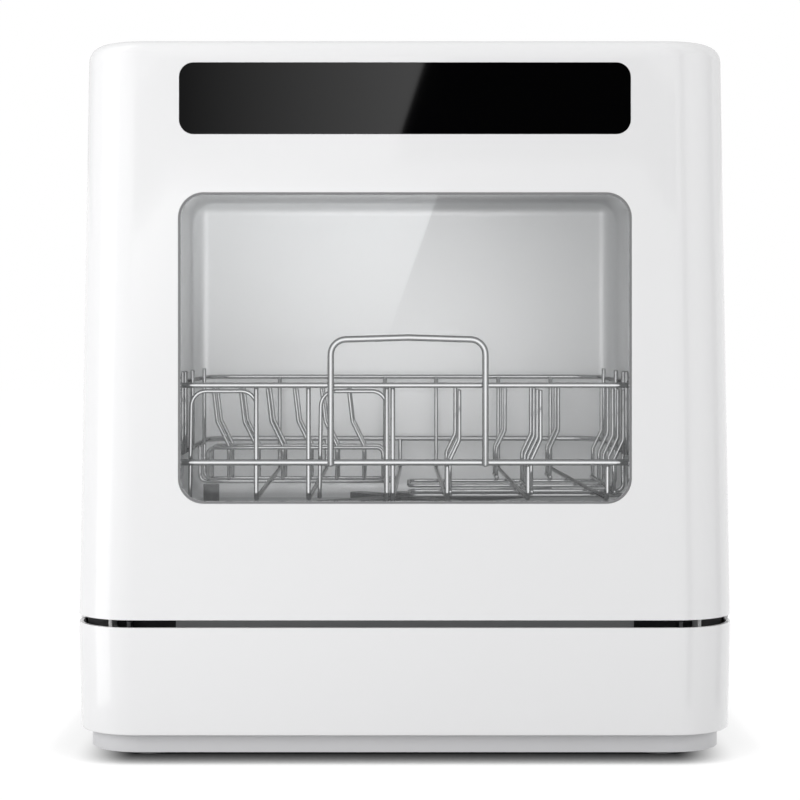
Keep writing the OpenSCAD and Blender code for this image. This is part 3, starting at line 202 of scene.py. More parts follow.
def maths(nt, operation, *values):
    """The result of an operation on sockets or numbers."""
    node = nt.nodes.new("ShaderNodeMath")
    node.operation = operation
    for socket, value in zip(node.inputs, values):
        if isinstance(value, bpy.types.NodeSocket):
            nt.links.new(value, socket)
        else:
            socket.default_value = value
    return node.outputs[0]


def ramp(nt, socket, span, ends, kind="SMOOTHSTEP"):
    """Carries a socket's values from a span to another."""
    node = nt.nodes.new("ShaderNodeMapRange")
    node.interpolation_type = kind
    for key, value in zip(("From Min", "From Max", "To Min", "To Max"), (*span, *ends)):
        node.inputs[key].default_value = value
    nt.links.new(socket, node.inputs["Value"])
    return node.outputs["Result"]


def position(nt, axis):
    """Where a point of the surface lies along an axis, in metres."""
    coord = nt.nodes.new("ShaderNodeTexCoord")
    split = nt.nodes.new("ShaderNodeSeparateXYZ")
    nt.links.new(coord.outputs["Object"], split.inputs[0])
    return split.outputs[axis]


def surface(mat):
    return mat.node_tree.nodes["Principled BSDF"]


def feed(mat, socket, key):
    mat.node_tree.links.new(socket, surface(mat).inputs[key])


# ------------------------------------------------------------------ materials
def material(name, color, rough, metal=0.0, **sockets):
    mat = bpy.data.materials.new(name)
    mat.use_nodes = True
    bsdf = surface(mat)
    bsdf.inputs["Base Color"].default_value = (*color[:3], 1)
    bsdf.inputs["Roughness"].default_value = rough
    bsdf.inputs["Metallic"].default_value = metal
    for key, value in sockets.items():
        bsdf.inputs[key.replace("_", " ")].default_value = value
    return mat


def noise(mat, scale, detail=2.0, stretch=(1, 1, 1)):
    nt = mat.node_tree
    coord = nt.nodes.new("ShaderNodeTexCoord")
    mapping = add_node(nt, "Mapping", Scale=stretch)
    tex = add_node(nt, "TexNoise", Scale=scale, Detail=detail)
    nt.links.new(coord.outputs["Object"], mapping.inputs["Vector"])
    nt.links.new(mapping.outputs["Vector"], tex.inputs["Vector"])
    return tex.outputs["Fac"]


def bump(mat, height, strength, distance):
    node = add_node(mat.node_tree, "Bump", Strength=strength, Distance=distance)
    mat.node_tree.links.new(height, node.inputs["Height"])
    feed(mat, node.outputs["Normal"], "Normal")


def vary(mat, fac, socket, lo, hi):
    """A number that wanders between lo and hi over the surface."""
    feed(mat, ramp(mat.node_tree, fac, (0.0, 1.0), (lo, hi)), socket)


def tint(mat, fac, a, b):
    """A colour that wanders between a and b over the surface."""
    colors = mat.node_tree.nodes.new("ShaderNodeValToRGB")
    colors.color_ramp.interpolation = "EASE"
    for element, color in zip(colors.color_ramp.elements, (a, b)):
        element.color = (*color, 1)
    mat.node_tree.links.new(fac, colors.inputs["Fac"])
    feed(mat, colors.outputs["Color"], "Base Color")


def plastic(name, color, rough, grain=1500, depth=0.00002, strength=0.15, spread=0.04, **kw):
    """Moulded plastic or rubber, with a fine grain and uneven gloss."""
    mat = material(name, color, rough, **kw)
    bump(mat, noise(mat, grain), strength, depth)
    vary(mat, noise(mat, 40), "Roughness", rough - spread, rough + spread)
    tint(mat, noise(mat, 3, 1), color, tuple(0.985 * c for c in color))
    return mat


def brushed(name, color, rough, along, metal=1.0, depth=0.00001, spread=0.055, **kw):
    """Steel with fine brushing along one axis."""
    mat = material(name, color, rough, metal, **kw)
    stretch = [0.02 if k == along else 1 for k in range(3)]
    bump(mat, noise(mat, 2500, 3, stretch), 0.12, depth)
    vary(mat, noise(mat, 700, 3, stretch), "Roughness", rough - spread, rough + spread)
    tint(mat, noise(mat, 6, 3), color, tuple(0.96 * c for c in color))
    return mat


def pane(name, index=1.45):
    """Clear glass: what the pane doesn't reflect goes straight through it."""
    mat = material(name, (0.95, 0.97, 0.98), 0.02, 1.0)
    nt = mat.node_tree
    face = nt.nodes.new("ShaderNodeNewGeometry")
    fresnel = nt.nodes.new("ShaderNodeFresnel")
    # the far face of the pane mirrors as little as the near one
    nt.links.new(ramp(nt, face.outputs["Backfacing"], (0, 1), (index, 1 / index), "LINEAR"),
                 fresnel.inputs["IOR"])
    feed(mat, fresnel.outputs["Fac"], "Alpha")
    return mat


def gloss_black(name):
    mat = material(name, (0.001, 0.001, 0.0012), 0.04)
    vary(mat, noise(mat, 5), "Roughness", 0.03, 0.05)
    return mat


def circuit(name):
    mat = material(name, (0.02, 0.12, 0.05), 0.35)
    tracks = noise(mat, 160, 1)
    tint(mat, tracks, (0.015, 0.11, 0.045), (0.03, 0.17, 0.07))
    bump(mat, tracks, 0.3, 0.00005)
    return mat


def below(mat, axis, limit):
    """1 where the piece lies below a limit in millimetres along an axis, 0 elsewhere."""
    return maths(mat.node_tree, "LESS_THAN", position(mat.node_tree, axis), limit * MM)


def paint(mat, mask, color):
    """Puts another colour where the mask is 1."""
    nt = mat.node_tree
    base = surface(mat).inputs["Base Color"]
    mix = nt.nodes.new("ShaderNodeMix")
    mix.data_type = "RGBA"
    factor, old, new = [i for i in mix.inputs if i.enabled]
    nt.links.new(mask, factor)
    nt.links.new(base.links[0].from_socket, old)
    new.default_value = (*color, 1)
    feed(mat, [o for o in mix.outputs if o.enabled][0], "Base Color")


def tub_paint_with_painted_floor_shade():
    """The tub's sheet, with painted shade: its floor is painted a little darker than its walls."""
    mat = brushed("tub_sheet", (0.76, 0.765, 0.77), 0.42, 0, metal=0.55, depth=0.000003, spread=0.015)
    # painted shade: the sheet below the walls' foot is painted darker
    paint(mat, below(mat, "Z", TUB_FLOOR_Z + 1), (0.56, 0.565, 0.57))
    return mat


def frame_paint_with_painted_gap_shade():
    """The white bulkhead, with painted shade as a dark strip in the gap under the door, and its ribs in
    that gap painted whiter than the frame as painted light.
    """
    mat = plastic("frame_white_painted_gap_shade", PALE, 0.42)
    strip = below(mat, "Z", DOOR_Z + 1)
    ribs = maths(mat.node_tree, "MULTIPLY", strip, below(mat, "Y", DOOR_BACK + 1))
    # painted shade: the frame in the gap under the door is painted near black
    paint(mat, strip, (0.075, 0.075, 0.077))
    # painted light: the ribs in that gap are painted whiter than the rest of the frame
    paint(mat, ribs, (0.95, 0.95, 0.95))
    return mat


WHITE, PALE, GREY = (0.86, 0.86, 0.865), (0.74, 0.74, 0.75), (0.42, 0.42, 0.43)
STEEL, WIRE = (0.5, 0.505, 0.51), (0.46, 0.465, 0.47)
RUBBER = {"depth": 0.00005, "strength": 0.3}
MAT = {
    "white_case": plastic("white_case", WHITE, 0.34, spread=0.006, Coat_Weight=0.7, Coat_Roughness=0.07),
    "white_trim": plastic("white_trim", PALE, 0.42),
    "grey_trim": plastic("grey_trim", GREY, 0.42),
    "tub_sheet": tub_paint_with_painted_floor_shade(),
    "dark_plastic": plastic("dark_plastic", (0.06, 0.061, 0.064), 0.45, depth=0.00004),
    "pale_plastic": plastic("pale_plastic", (0.6, 0.62, 0.63), 0.4),
    "black_glass": gloss_black("black_glass"),
    "clear_glass": pane("clear_glass"),
    "rack_wire": brushed("rack_wire", WIRE, 0.12, 0, depth=0.000004, Specular_Tint=(0.05, 0.05, 0.05, 1)),
    "steel_part": brushed("steel_part", STEEL, 0.34, 2),
    "rubber_grey": plastic("rubber_grey", (0.22, 0.22, 0.225), 0.62, grain=2500, **RUBBER),
    "seal_rubber": plastic("seal_rubber", GREY, 0.6, grain=2200, **RUBBER),
    "circuit_board": circuit("circuit_board"),
    "hose_rubber": plastic("hose_rubber", (0.12, 0.125, 0.13), 0.5, grain=900, depth=0.00006, strength=0.3),
}
OWN_PAINT = {                  # nodes whose finish isn't their slot's
    # the bulkhead, with painted shade in the gap under the door
    "tub_front_frame": frame_paint_with_painted_gap_shade(),
    # painted shade: the plinth under the base is painted darker than the trim's white
    "base_plinth": plastic("plinth_white_painted_shade", (0.63, 0.63, 0.64), 0.42),
}


def finish_piece(ob, body, slot, *nodes):
    """Gives a piece its slot's material and its body, and hides the nodes that it replaces."""
    ob.data.materials.clear()
    ob.data.materials.append(MAT[slot])
    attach(ob, body)
    if nodes:
        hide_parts(*nodes)
    return ob


# ------------------------------------------------------------------ the case
def half_at(z):
    return HALF - SIDE_DRAFT * (z - SPLIT_Z) / (TOP - SPLIT_Z)


def plan(half, inset, z):
    """The case's outline at height z, set back by inset."""
    ring = []
    corners = ((-1, FRONT + CORNER_R, CORNER_R, 180), (1, FRONT + CORNER_R, CORNER_R, 270),
               (1, REAR - REAR_R, REAR_R, 0), (-1, REAR - REAR_R, REAR_R, 90))
    for sx, y, r, a0 in corners:
        for k in range(ARC + 1):
            a = math.radians(a0 + 90 * k / ARC)
            ring.append((sx * (half - r) + (r - inset) * math.cos(a), y + (r - inset) * math.sin(a), z))
    return ring


def case_block(inset, z0, name="case", steps=8):
    """The case from z0 up to its rounded top."""
    rings = [plan(half_at(z0), inset, z0)]
    for k in range(steps + 1):
        a = math.radians(90 * k / steps)
        z = TOP - FILLET + (FILLET - inset) * math.sin(a)
        rings.append(plan(half_at(z), FILLET - (FILLET - inset) * math.cos(a), z))
    return loft(name, rings)


def base_block(inset, z0, z1, r=0.0, name="base", steps=5):
    """The base between two heights, with its lower edge rounded by r."""
    rings = []
    for k in range(steps + 1 if r else 1):
        a = math.radians(90 * k / steps)
        rings.append(plan(HALF - BASE_DRAFT, inset + r * (1 - math.sin(a)), z0 + r * (1 - math.cos(a))))
    rings.append(plan(HALF, inset, z1))
    return loft(name, rings)


def shell(z0, inner_z, name):
    """The case's wall from z0 up, hollow from inner_z."""
    return carve(case_block(0, z0, name), case_block(WALL, inner_z))


def around(node, grow, r):
    """Width, height, corner radius and middle's height of an opening round a node."""
    lo, hi = box_mm(node)
    return hi[0] - lo[0] + 2 * grow, hi[2] - lo[2] + 2 * grow, r, (lo[2] + hi[2]) / 2


GASKET_LIP, PANEL_SEAT = 1.5, 6          # beside the window's glass, and under the panel's glass
WINDOW = around("window_glass_outer", GASKET_LIP, 16)
PANEL = around("control_panel_glass", SHY, 9 + SHY)
PANEL_HOLE = around("control_panel_glass", -PANEL_SEAT, 4)
PANEL_DEPTH, SKIN_DEPTH = box_mm("control_panel_glass")[1][1] - FRONT, 8
HINGE_X, HINGE_SLOT, HINGE_END = 178, 2, -183.5


def make_door():
    """The door's skin, with the window, the panel's seat and the slots for the hinge arms."""
    door = shell(DOOR_Z, DOOR_Z + WALL, "door_skin")
    carve(door, box((-BIG, FRONT - PAST, 0), (BIG, DOOR_BACK, BIG)), "INTERSECT")
    for opening, depth in ((WINDOW, SKIN_DEPTH), (PANEL, PANEL_DEPTH), (PANEL_HOLE, SKIN_DEPTH)):
        carve(door, plate(*opening, FRONT - PAST, FRONT + depth))
    for s, _ in SIDES:
        lo, hi = s * HINGE_X - HINGE_SLOT, s * HINGE_X + HINGE_SLOT
        carve(door, box((lo, FRONT + WALL, DOOR_Z - 1), (hi, HINGE_END, DOOR_Z + WALL + 1)))
    edge(tidy(door), 0.8)
    finish_piece(door, "door", "white_case", "door_outer_panel")


def make_side_panels():
    for s, side in SIDES:
        wall = shell(SPLIT_Z + SLACK, SPLIT_Z - 1, "side_skin_" + side)
        lo, hi = sorted((s * PANEL_HALF, s * BIG))
        carve(wall, box((lo, CASE_FRONT, SPLIT_Z + SLACK), (hi, BIG, COVER_Z - SLACK)), "INTERSECT")
        edge(tidy(wall), 0.45)
        finish_piece(wall, "case", "white_case", "side_panel_" + side)


FILL_X, FILL_Y, FILL_R = -140, 150, 26                 # the filler's opening and its lid
LID_T, LID_R, LID_SWING = 2.6, 30, 0.85
LEVER_LO, LEVER_HI = (-149, 150, TOP - 6), (-131, 187, TOP + PAST)
TRAY_LO, TRAY_HI = (-153, 150, COVER_Z - 2), (-127, 190, TOP - 1.3)
SCOOP_X, SCOOP_D, SCOOP_H, SCOOP_T = 48, 20, 13, 2.6   # the finger scoop at the cover's front
FILL_CUT = (400, 460)                                  # heights between which the filler is cut


def open_filler(ob, swing=False):
    """Cuts the filler's hole, the seat of its lid and the slot of the lid's lever."""
    carve(ob, rod(FILL_X, FILL_Y, *FILL_CUT, FILL_R, 96))
    carve(ob, rod(FILL_X, FILL_Y, TOP - LID_T, FILL_CUT[1], LID_R + SLACK, 96))
    if swing:
        carve(ob, rod(FILL_X, FILL_Y + LID_SWING, TOP - LID_T, FILL_CUT[1], LID_R + SLACK, 96))
    carve(ob, box(LEVER_LO, LEVER_HI))


def scoop_box():
    return box((-SCOOP_X, FRONT, TOP - SCOOP_H), (SCOOP_X, CASE_FRONT + SCOOP_D, TOP + PAST))


def make_top_cover():
    """The cover's skin, and the linings of the filler's seat and of the finger scoop."""
    cover = shell(COVER_Z - 20, COVER_Z - 30, "cover_skin")
    carve(cover, box((-BIG, CASE_FRONT, COVER_Z), (BIG, BIG, BIG)), "INTERSECT")
    open_filler(cover, swing=True)
    carve(cover, scoop_box())
    edge(tidy(cover), 0.45)
    finish_piece(cover, "case", "white_case", "top_cover")

    tray = rod(FILL_X, FILL_Y, TRAY_LO[2], TOP - LID_T - SHY, LID_R + 2, 96, "lid_tray")
    carve(tray, box(TRAY_LO, TRAY_HI), "UNION")
    open_filler(tray)
    edge(tidy(tray), 0.25, 2)
    finish_piece(tray, "case", "white_case")

    x, y, z = SCOOP_X + SCOOP_T, CASE_FRONT + SCOOP_D + SCOOP_T, TOP - SCOOP_H - SCOOP_T
    scoop = box((-x, CASE_FRONT, z), (x, y, TOP - WALL - SHY), "finger_scoop")
    carve(scoop, scoop_box())
    edge(tidy(scoop), 0.3, 2)
    finish_piece(scoop, "case", "white_case")


POCKET_LO, POCKET_HI, POCKET_T = (66, 183.5, 26), (192, REAR + PAST, 74), 2.2
PORT_Z, PORTS = 48, ((92, 13.1), (134, 9.5), (170, 7.5))        # inlet, drain and gland
PORT_CUT = (175, 190)                                  # y of the holes through the lining
FLOOR_RIM = 16                                         # what is left of the base's floor at its edge


def make_base():
    """The base's skin, and the lining of the pocket at the rear with its three ports."""
    base = base_block(0, BASE_Z, SPLIT_Z, 0.9, "base_skin")
    carve(base, base_block(WALL, BASE_Z + WALL, SPLIT_Z + 1))
    carve(base, base_block(FLOOR_RIM, BASE_Z - 1, BASE_Z + WALL + 1))
    carve(base, box(POCKET_LO, POCKET_HI))
    edge(tidy(base), 0.6)
    finish_piece(base, "case", "white_case", "base_shell")

    lo = [c - POCKET_T for c in POCKET_LO]
    pocket = box(lo, (POCKET_HI[0] + POCKET_T, REAR - 1.3, POCKET_HI[2] + POCKET_T), "rear_pocket")
    carve(pocket, box(POCKET_LO, POCKET_HI))
    for x, r in PORTS:
        carve(pocket, rod_y(x, PORT_Z, *PORT_CUT, r + SHY))
    edge(tidy(pocket), 0.25, 2)
    finish_piece(pocket, "case", "white_trim")


make_door()
make_side_panels()
make_top_cover()
make_base()


# ------------------------------------------------------------------ the tub
def tub_block(grow, y0, name="tub", steps=14):
    """The tub's space, grown on every side, with its rear edge rounded."""
    def ring(r, y):
        w, h = (size - 2 * (TUB_R - r) for size in (TUB_W, TUB_H))
        return [(px, y, TUB_Z + pz) for px, pz in rounded(w, h, r, 20)]
    full = TUB_R + grow
    rings = [ring(full, y0)]
    for k in range(steps):
        a = math.radians(90 * k / steps)
        rings.append(ring(full * math.cos(a), TUB_REAR - TUB_R + full * math.sin(a)))
    rings.append(ring(0.05, TUB_REAR + grow))
    return loft(name, rings)


AXLE_X, AXLE_HOLE = 178, 2.5
TUB_HOLES = ((75, -62, 120, 45), (0, 2, 120, 9), (-157, 145, 120, 3.05), (80, 60, 370, 18))
TUB_HOLE_DEPTH = 20


def make_tub():
    """The steel tub, with holes for sump, spray arm, float, air duct and the rollers' axles."""
    tub = tub_block(TUB_T, TUB_Y, "tub_skin")
    carve(tub, tub_block(0, TUB_Y - 1))
    for x, y, z, r in TUB_HOLES:
        carve(tub, rod(x, y, z, z + TUB_HOLE_DEPTH, r))
    for s, side in SIDES:
        for end in ("front", "rear"):
            lo, hi = box_mm("roller_%s_%s" % (end, side))
            y, z = (lo[1] + hi[1]) / 2, (lo[2] + hi[2]) / 2
            hole = rod_y(0, 0, 0, PAST, AXLE_HOLE, 24)
            axle = Matrix.Translation((s * AXLE_X * MM, y * MM, z * MM))
            hole.data.transform(axle @ Matrix.Rotation(s * math.pi / 2, 4, "Z"))
            carve(tub, hole)
    smooth(tidy(tub), 40)
    finish_piece(tub, "case", "tub_sheet", "tub")


make_tub()


# ------------------------------------------------------------------ the rack's wires
def fillet(points, r):
    """The middle line of a bent wire: straights with arcs of radius r."""
    pts = [Vector(p) for p in points]
    line = [pts[0]]
    for a, b, c in zip(pts, pts[1:], pts[2:]):
        u, w = (b - a).normalized(), (c - b).normalized()
        turn = u.angle(w)
        if turn < 0.01:
            continue
        side = (w - u * u.dot(w)).normalized()
        start = b - u * r * math.tan(turn / 2)
        mid = start + side * r
        steps = max(2, round(turn / math.radians(11)))
        for k in range(steps + 1):
            t = turn * k / steps
            line.append(mid - side * r * math.cos(t) + u * r * math.sin(t))
    line.append(pts[-1])
    return line


def frames(line, closed):
    """At each point of the line: the point, its direction and two axes across it."""
    n = len(line)
    tangents = []
    for k in range(n):
        a = line[k - 1] if k or closed else line[k]
        b = line[(k + 1) % n] if k < n - 1 or closed else line[k]
        tangents.append((b - a).normalized())
    up = tangents[0].orthogonal().normalized()
    found = []
    for k in range(n):
        if k:
            up = tangents[k - 1].rotation_difference(tangents[k]) @ up
        up = (up - tangents[k] * up.dot(tangents[k])).normalized()
        found.append((line[k], tangents[k], up, tangents[k].cross(up)))
    return found


def sweep(bm, line, d, closed=False, sides=14):
    """A round wire along the line, with rounded ends."""
    r = d / 2

    def ring(station, offset=0.0, radius=r):
        point, tangent, up, across = station
        middle = point + tangent * offset
        outs = (up * x + across * y for x, y in circle(0, 0, 1, sides))
        return [bm.verts.new((middle + out * radius) * MM) for out in outs]

    stations = frames(line, closed)
    tip = ((0, 0.45), (0.2, 0.85), (0.5, 1))           # how far in, and how thick, as shares of r
    rings = []
    for k, station in enumerate(stations):
        if not closed and k == 0:
            rings += [ring(station, r * inward, r * thick) for inward, thick in tip]
        elif not closed and k == len(stations) - 1:
            rings += [ring(station, -r * inward, r * thick) for inward, thick in tip[::-1]]
        else:
            rings.append(ring(station))
    pairs = list(zip(rings, rings[1:]))
    if closed:
        pairs.append((rings[-1], rings[0]))
    else:
        bm.faces.new(rings[0][::-1])
        bm.faces.new(rings[-1])
    for a, b in pairs:
        shift = 0
        if closed and a is rings[-1]:
            shift = min(range(sides), key=lambda s: (a[0].co - b[s].co).length)
        for j in range(sides):
            i0, i1 = (j + shift) % sides, (j + 1 + shift) % sides
            bm.faces.new((a[j], a[(j + 1) % sides], b[i1], b[i0]))


def wires(name, node, jobs):
    """One piece of the rack from (line, diameter, closed) jobs, in place of a node."""
    bm = bmesh.new()
    for line, d, closed in jobs:
        sweep(bm, line, d, closed)
    bmesh.ops.recalc_face_normals(bm, faces=bm.faces)
    me = bpy.data.meshes.new(name)
    bm.to_mesh(me)
    bm.free()
    me.shade_smooth()
    return finish_piece(add_object(name, me), "rack", "rack_wire", node)


def bent(points, d, r=5):
    """The job of a wire with bends of radius r."""
    return fillet(points, r), d, False


def straight(a, b, d):
    """The job of a straight wire."""
    return [Vector(a), Vector(b)], d, False


def flat_ring(w, d, r, y, z, wire):
    """The job of a level closed ring of w by d with round corners."""
    return [Vector((px, y + py, z)) for px, py in rounded(w, d, r, 8)], wire, True


def back(d):
    """A place d millimetres behind the door's front."""
    return FRONT + d


RACK_F, RACK_MID = -157.5, 2.0
TOP_RAIL, LOW_RAIL, FLOOR_Z = 231.6, 180.8, 156.6
UP_F, UP_B, SIDE_X = -153.9, 157.9, 156.4
CROSS_Z, UPRIGHT, CROSS, TINE, HANDLE = 153.6, 3.2, 3.0, 2.8, 4.3
WELD = 0.1                     # how deep welded wires sink into each other

RAIL_POSTS = (150, 168, 215, 300)
# x of a floor wire at the front and at the rear, and the heights where it ends there
LONG = (
    (-98, -102, TOP_RAIL, TOP_RAIL),
    (-63.5, -63.5, TOP_RAIL, LOW_RAIL),
    (-11.8, -15.5, TOP_RAIL, TOP_RAIL),
    (-7.9, -3, TOP_RAIL, LOW_RAIL),
    (28, 26.6, LOW_RAIL, TOP_RAIL),
    (81.4, 77.7, LOW_RAIL, TOP_RAIL),
    (133.7, 120.6, LOW_RAIL, TOP_RAIL),
)
RIGHT_LOOPS, RIGHT_LOOP_X = ((131.7, 170), (222, 272)), 3.6
LEFT_CROSSES, LEFT_CROSS_X = (267, 301), -5
HOOPS = ((-142, -98), (-56.3, -11.8))
LEFT_TINES, LEFT_X, LEFT_PITCH = 6, -134.2, 20.7
RIGHT_ROWS = (                 # x of each row, and its tines' places behind the door's front
    (31.4, (127, 160, 226)),
    (71, (272, 300)),
    (87.7, (127, 160, 193, 226)),
    (112, (272, 300)),
    (145, (127, 160, 193, 226, 272)),
)
HANDLE_X, HANDLE_HALF, HANDLE_Z, HANDLE_CROWN = 2.2, 50.75, 261.5, 1.5


def rack_rails():
    yield flat_ring(319.3, 318.3, 22, RACK_MID, TOP_RAIL, 3.5)
    yield flat_ring(320, 319, 22, RACK_MID, LOW_RAIL, 4.2)
    for s, _ in SIDES:
        for d in RAIL_POSTS:
            yield straight((s * SIDE_X, back(d), LOW_RAIL), (s * SIDE_X, back(d), TOP_RAIL + 8), UPRIGHT)


def rack_floor():
    for a, b, za, zb in LONG:
        yield bent([(a, UP_F, za), (a, UP_F, FLOOR_Z), (b, UP_B, FLOOR_Z), (b, UP_B, zb)], UPRIGHT)
    for y0, y1 in ((back(d0), back(d1)) for d0, d1 in RIGHT_LOOPS):
        x = RIGHT_LOOP_X
        yield bent([(SIDE_X, y0, LOW_RAIL), (SIDE_X, y0, CROSS_Z), (x, y0, CROSS_Z), (x, y1, CROSS_Z),
                    (SIDE_X, y1, CROSS_Z), (SIDE_X, y1, LOW_RAIL)], CROSS)
    for y in map(back, LEFT_CROSSES):
        yield bent([(-SIDE_X, y, LOW_RAIL), (-SIDE_X, y, CROSS_Z), (LEFT_CROSS_X, y, CROSS_Z)], CROSS)


def cup_hoops():
    y = UP_F + (UPRIGHT + TINE) / 2 - WELD
    top = TOP_RAIL - 4
    for a, b in HOOPS:
        yield bent([(a, y, FLOOR_Z), (a + 1, y, top), (b, y, top), (b, y, top - 18)], TINE, 10)


def left_tines():
    z0, low = CROSS_Z + CROSS / 2 - WELD, LOW_RAIL - 1.5
    for y in map(back, LEFT_CROSSES):
        for k in range(LEFT_TINES):
            x = LEFT_X + LEFT_PITCH * k
            yield bent([(x, y, z0), (x, y, LOW_RAIL), (x - 9, y, LOW_RAIL + 18.5), (x - 12, y, 225)], TINE)
        y -= TINE - WELD
        yield bent([(-150, y, z0), (-150, y, low), (-16, y, low), (-16, y, z0)], TINE)


def right_tines():
    for x, depths in RIGHT_ROWS:
        first, last = back(depths[0]) - 8, back(depths[-1]) + 8
        yield straight((x, first, FLOOR_Z), (x, last, FLOOR_Z), UPRIGHT)
        for y in map(back, depths):
            yield bent([(x, y, FLOOR_Z), (x, y, LOW_RAIL - 2.5), (x + 6.6, y, LOW_RAIL + 11.4),
                        (x + 6.6, y, 227)], TINE)


def rack_handle():
    y, low = RACK_F - 4.25 + WELD, LOW_RAIL - 2.5
    x0, x1 = HANDLE_X - HANDLE_HALF, HANDLE_X + HANDLE_HALF
    yield bent([(x0, y, low), (x0, y, HANDLE_Z), (HANDLE_X, y, HANDLE_Z + HANDLE_CROWN), (x1, y, HANDLE_Z),
                (x1, y, low)], HANDLE, 10)


wires("rails", "rack_rails", rack_rails())
wires("floor_wires", "rack_floor", rack_floor())
wires("hoops", "cup_hoops", cup_hoops())
wires("left_tine_rows", "left_tines", left_tines())
wires("right_tine_rows", "right_tines", right_tines())
wires("handle", "rack_handle", rack_handle())

# ------------------------------------------------------------------ the CAD's other pieces
# how far the CAD nodes' sharp edges are rounded
EDGES = {
    "control_panel_glass": 0.35, "foot_pads": 0.6, "gap_fascia": 0.3, "base_plinth": 0.8,
    "rear_panel": 0.3, "tank_lid": 0.4, "spray_arm": 1.2, "door_inner_liner": 0.4,
    "tub_front_frame": 0.4, "fine_filter": 0.4, "float": 0.8, "door_latch_hook": 0.4,
    "power_board": 0.3, "inlet_valve": 0.4, "drain_spigot": 0.4, "cable_gland": 0.3,
    "latch_housing": 0.4, "water_tank": 1.0, "wash_pump_motor": 0.8, "wash_pump_volute": 0.8,
    "door_hinge_arms": 0.25, "hinge_brackets": 0.25,
}


def dress_node(node, slot):
    """Gives a CAD node its finish and rounds its edges."""
    ob = NODES[node]
    mat = OWN_PAINT.get(node, MAT[slot])
    if ob.material_slots:
        for material_slot in ob.material_slots:
            material_slot.material = mat
    else:
        ob.data.materials.append(mat)
    if node in EDGES:
        edge(ob, EDGES[node], segments=2, angle=40)


for entry in RECORD["subparts"]:
    dress_node(entry["node"], entry["material_slot"])

# ------------------------------------------------------------------ floor and world
scene = bpy.context.scene
scene.view_settings.view_transform = "Standard"


def bare_tree(owner, output="OutputMaterial"):
    """A material's or world's empty tree, and its output's input."""
    owner.use_nodes = True
    nt = owner.node_tree
    nt.nodes.clear()
    return nt, nt.nodes.new("ShaderNode" + output).inputs["Surface"]


def is_seen(nt):
    """1 for the camera, reflections and what is seen through glass, 0 for other light."""
    path = nt.nodes.new("ShaderNodeLightPath")
    direct = maths(nt, "MAXIMUM", path.outputs["Is Camera Ray"], path.outputs["Is Glossy Ray"])
    return maths(nt, "MAXIMUM", direct, path.outputs["Is Transmission Ray"])


FLOOR_HALF, FLOOR_WHITE = 9, 0.97                      # metres, and the light of the floor that is seen
FLOOR_BOUNCE, FLOOR_SEEN = (0.56, 0.56, 0.565, 1), (0.07, 0.07, 0.071, 1)
SHADE_REACH, SHADE_DEPTH = 0.03, 5.5                   # the soft shade where the object stands
SHADE_THINS, SHADE_LOST = (0.17, 0.212), 0.88          # it thins out past the object's corners


def floor_shade(nt):
    """How bright the floor is: 1 in the open, 0 in the shade under the object."""
    near = add_node(nt, "AmbientOcclusion", Distance=SHADE_REACH)
    near.samples = 12
    aside = maths(nt, "ABSOLUTE", position(nt, "X"))
    blend = add_node(nt, "Mix", B=1.0)
    nt.links.new(ramp(nt, aside, SHADE_THINS, (0, SHADE_LOST)), blend.inputs["Factor"])
    nt.links.new(maths(nt, "POWER", near.outputs["AO"], SHADE_DEPTH), blend.inputs["A"])
    return blend.outputs["Result"]


def floor_material():
    """White with a soft shade where it is seen, and a plain pale floor for other light."""
    mat = bpy.data.materials.new("floor")
    nt, surface_in = bare_tree(mat)
    seen = is_seen(nt)
    bounce = add_node(nt, "BsdfDiffuse", Color=FLOOR_BOUNCE)
    matt = add_node(nt, "BsdfDiffuse", Color=FLOOR_SEEN)
    glow = nt.nodes.new("ShaderNodeEmission")
    both = nt.nodes.new("ShaderNodeAddShader")
    mix = nt.nodes.new("ShaderNodeMixShader")
    nt.links.new(maths(nt, "MULTIPLY", maths(nt, "MULTIPLY", seen, FLOOR_WHITE), floor_shade(nt)),
                 glow.inputs["Strength"])
    nt.links.new(matt.outputs[0], both.inputs[0])
    nt.links.new(glow.outputs[0], both.inputs[1])
    nt.links.new(seen, mix.inputs["Fac"])
    nt.links.new(bounce.outputs[0], mix.inputs[1])
    nt.links.new(both.outputs[0], mix.inputs[2])
    nt.links.new(mix.outputs[0], surface_in)
    return mat


def make_floor():
    h = FLOOR_HALF
    floor = mesh_object("floor", [(-h, -h, 0), (h, -h, 0), (h, h, 0), (-h, h, 0)], [(0, 1, 2, 3)], 1)
    floor.data.materials.append(floor_material())


AMBIENT = 0.5


def make_world():
    """White where it is seen, and half as bright as a light on the object."""
    world = bpy.data.worlds.new("world")
    scene.world = world
    nt, surface_in = bare_tree(world, "OutputWorld")
    sky = add_node(nt, "Background", Color=(1, 1, 1, 1))
    nt.links.new(maths(nt, "ADD", maths(nt, "MULTIPLY", is_seen(nt), 1 - AMBIENT), AMBIENT),
                 sky.inputs["Strength"])
    nt.links.new(sky.outputs[0], surface_in)


make_floor()
make_world()


# ------------------------------------------------------------------ lamps, and cards for reflections
def lamp(name, loc, aim, width, height, energy):
    """A lamp in metres and watts that only lights: no camera and no reflection sees it."""
    light = bpy.data.lights.new(name, "AREA")
    light.shape = "RECTANGLE"
    light.size, light.size_y, light.energy = width, height, energy
    ob = add_object(name, light)
    ob.location = loc
    ob.rotation_euler = (Vector(aim) - Vector(loc)).to_track_quat("-Z", "Y").to_euler()
    ob.visible_camera = ob.visible_glossy = False


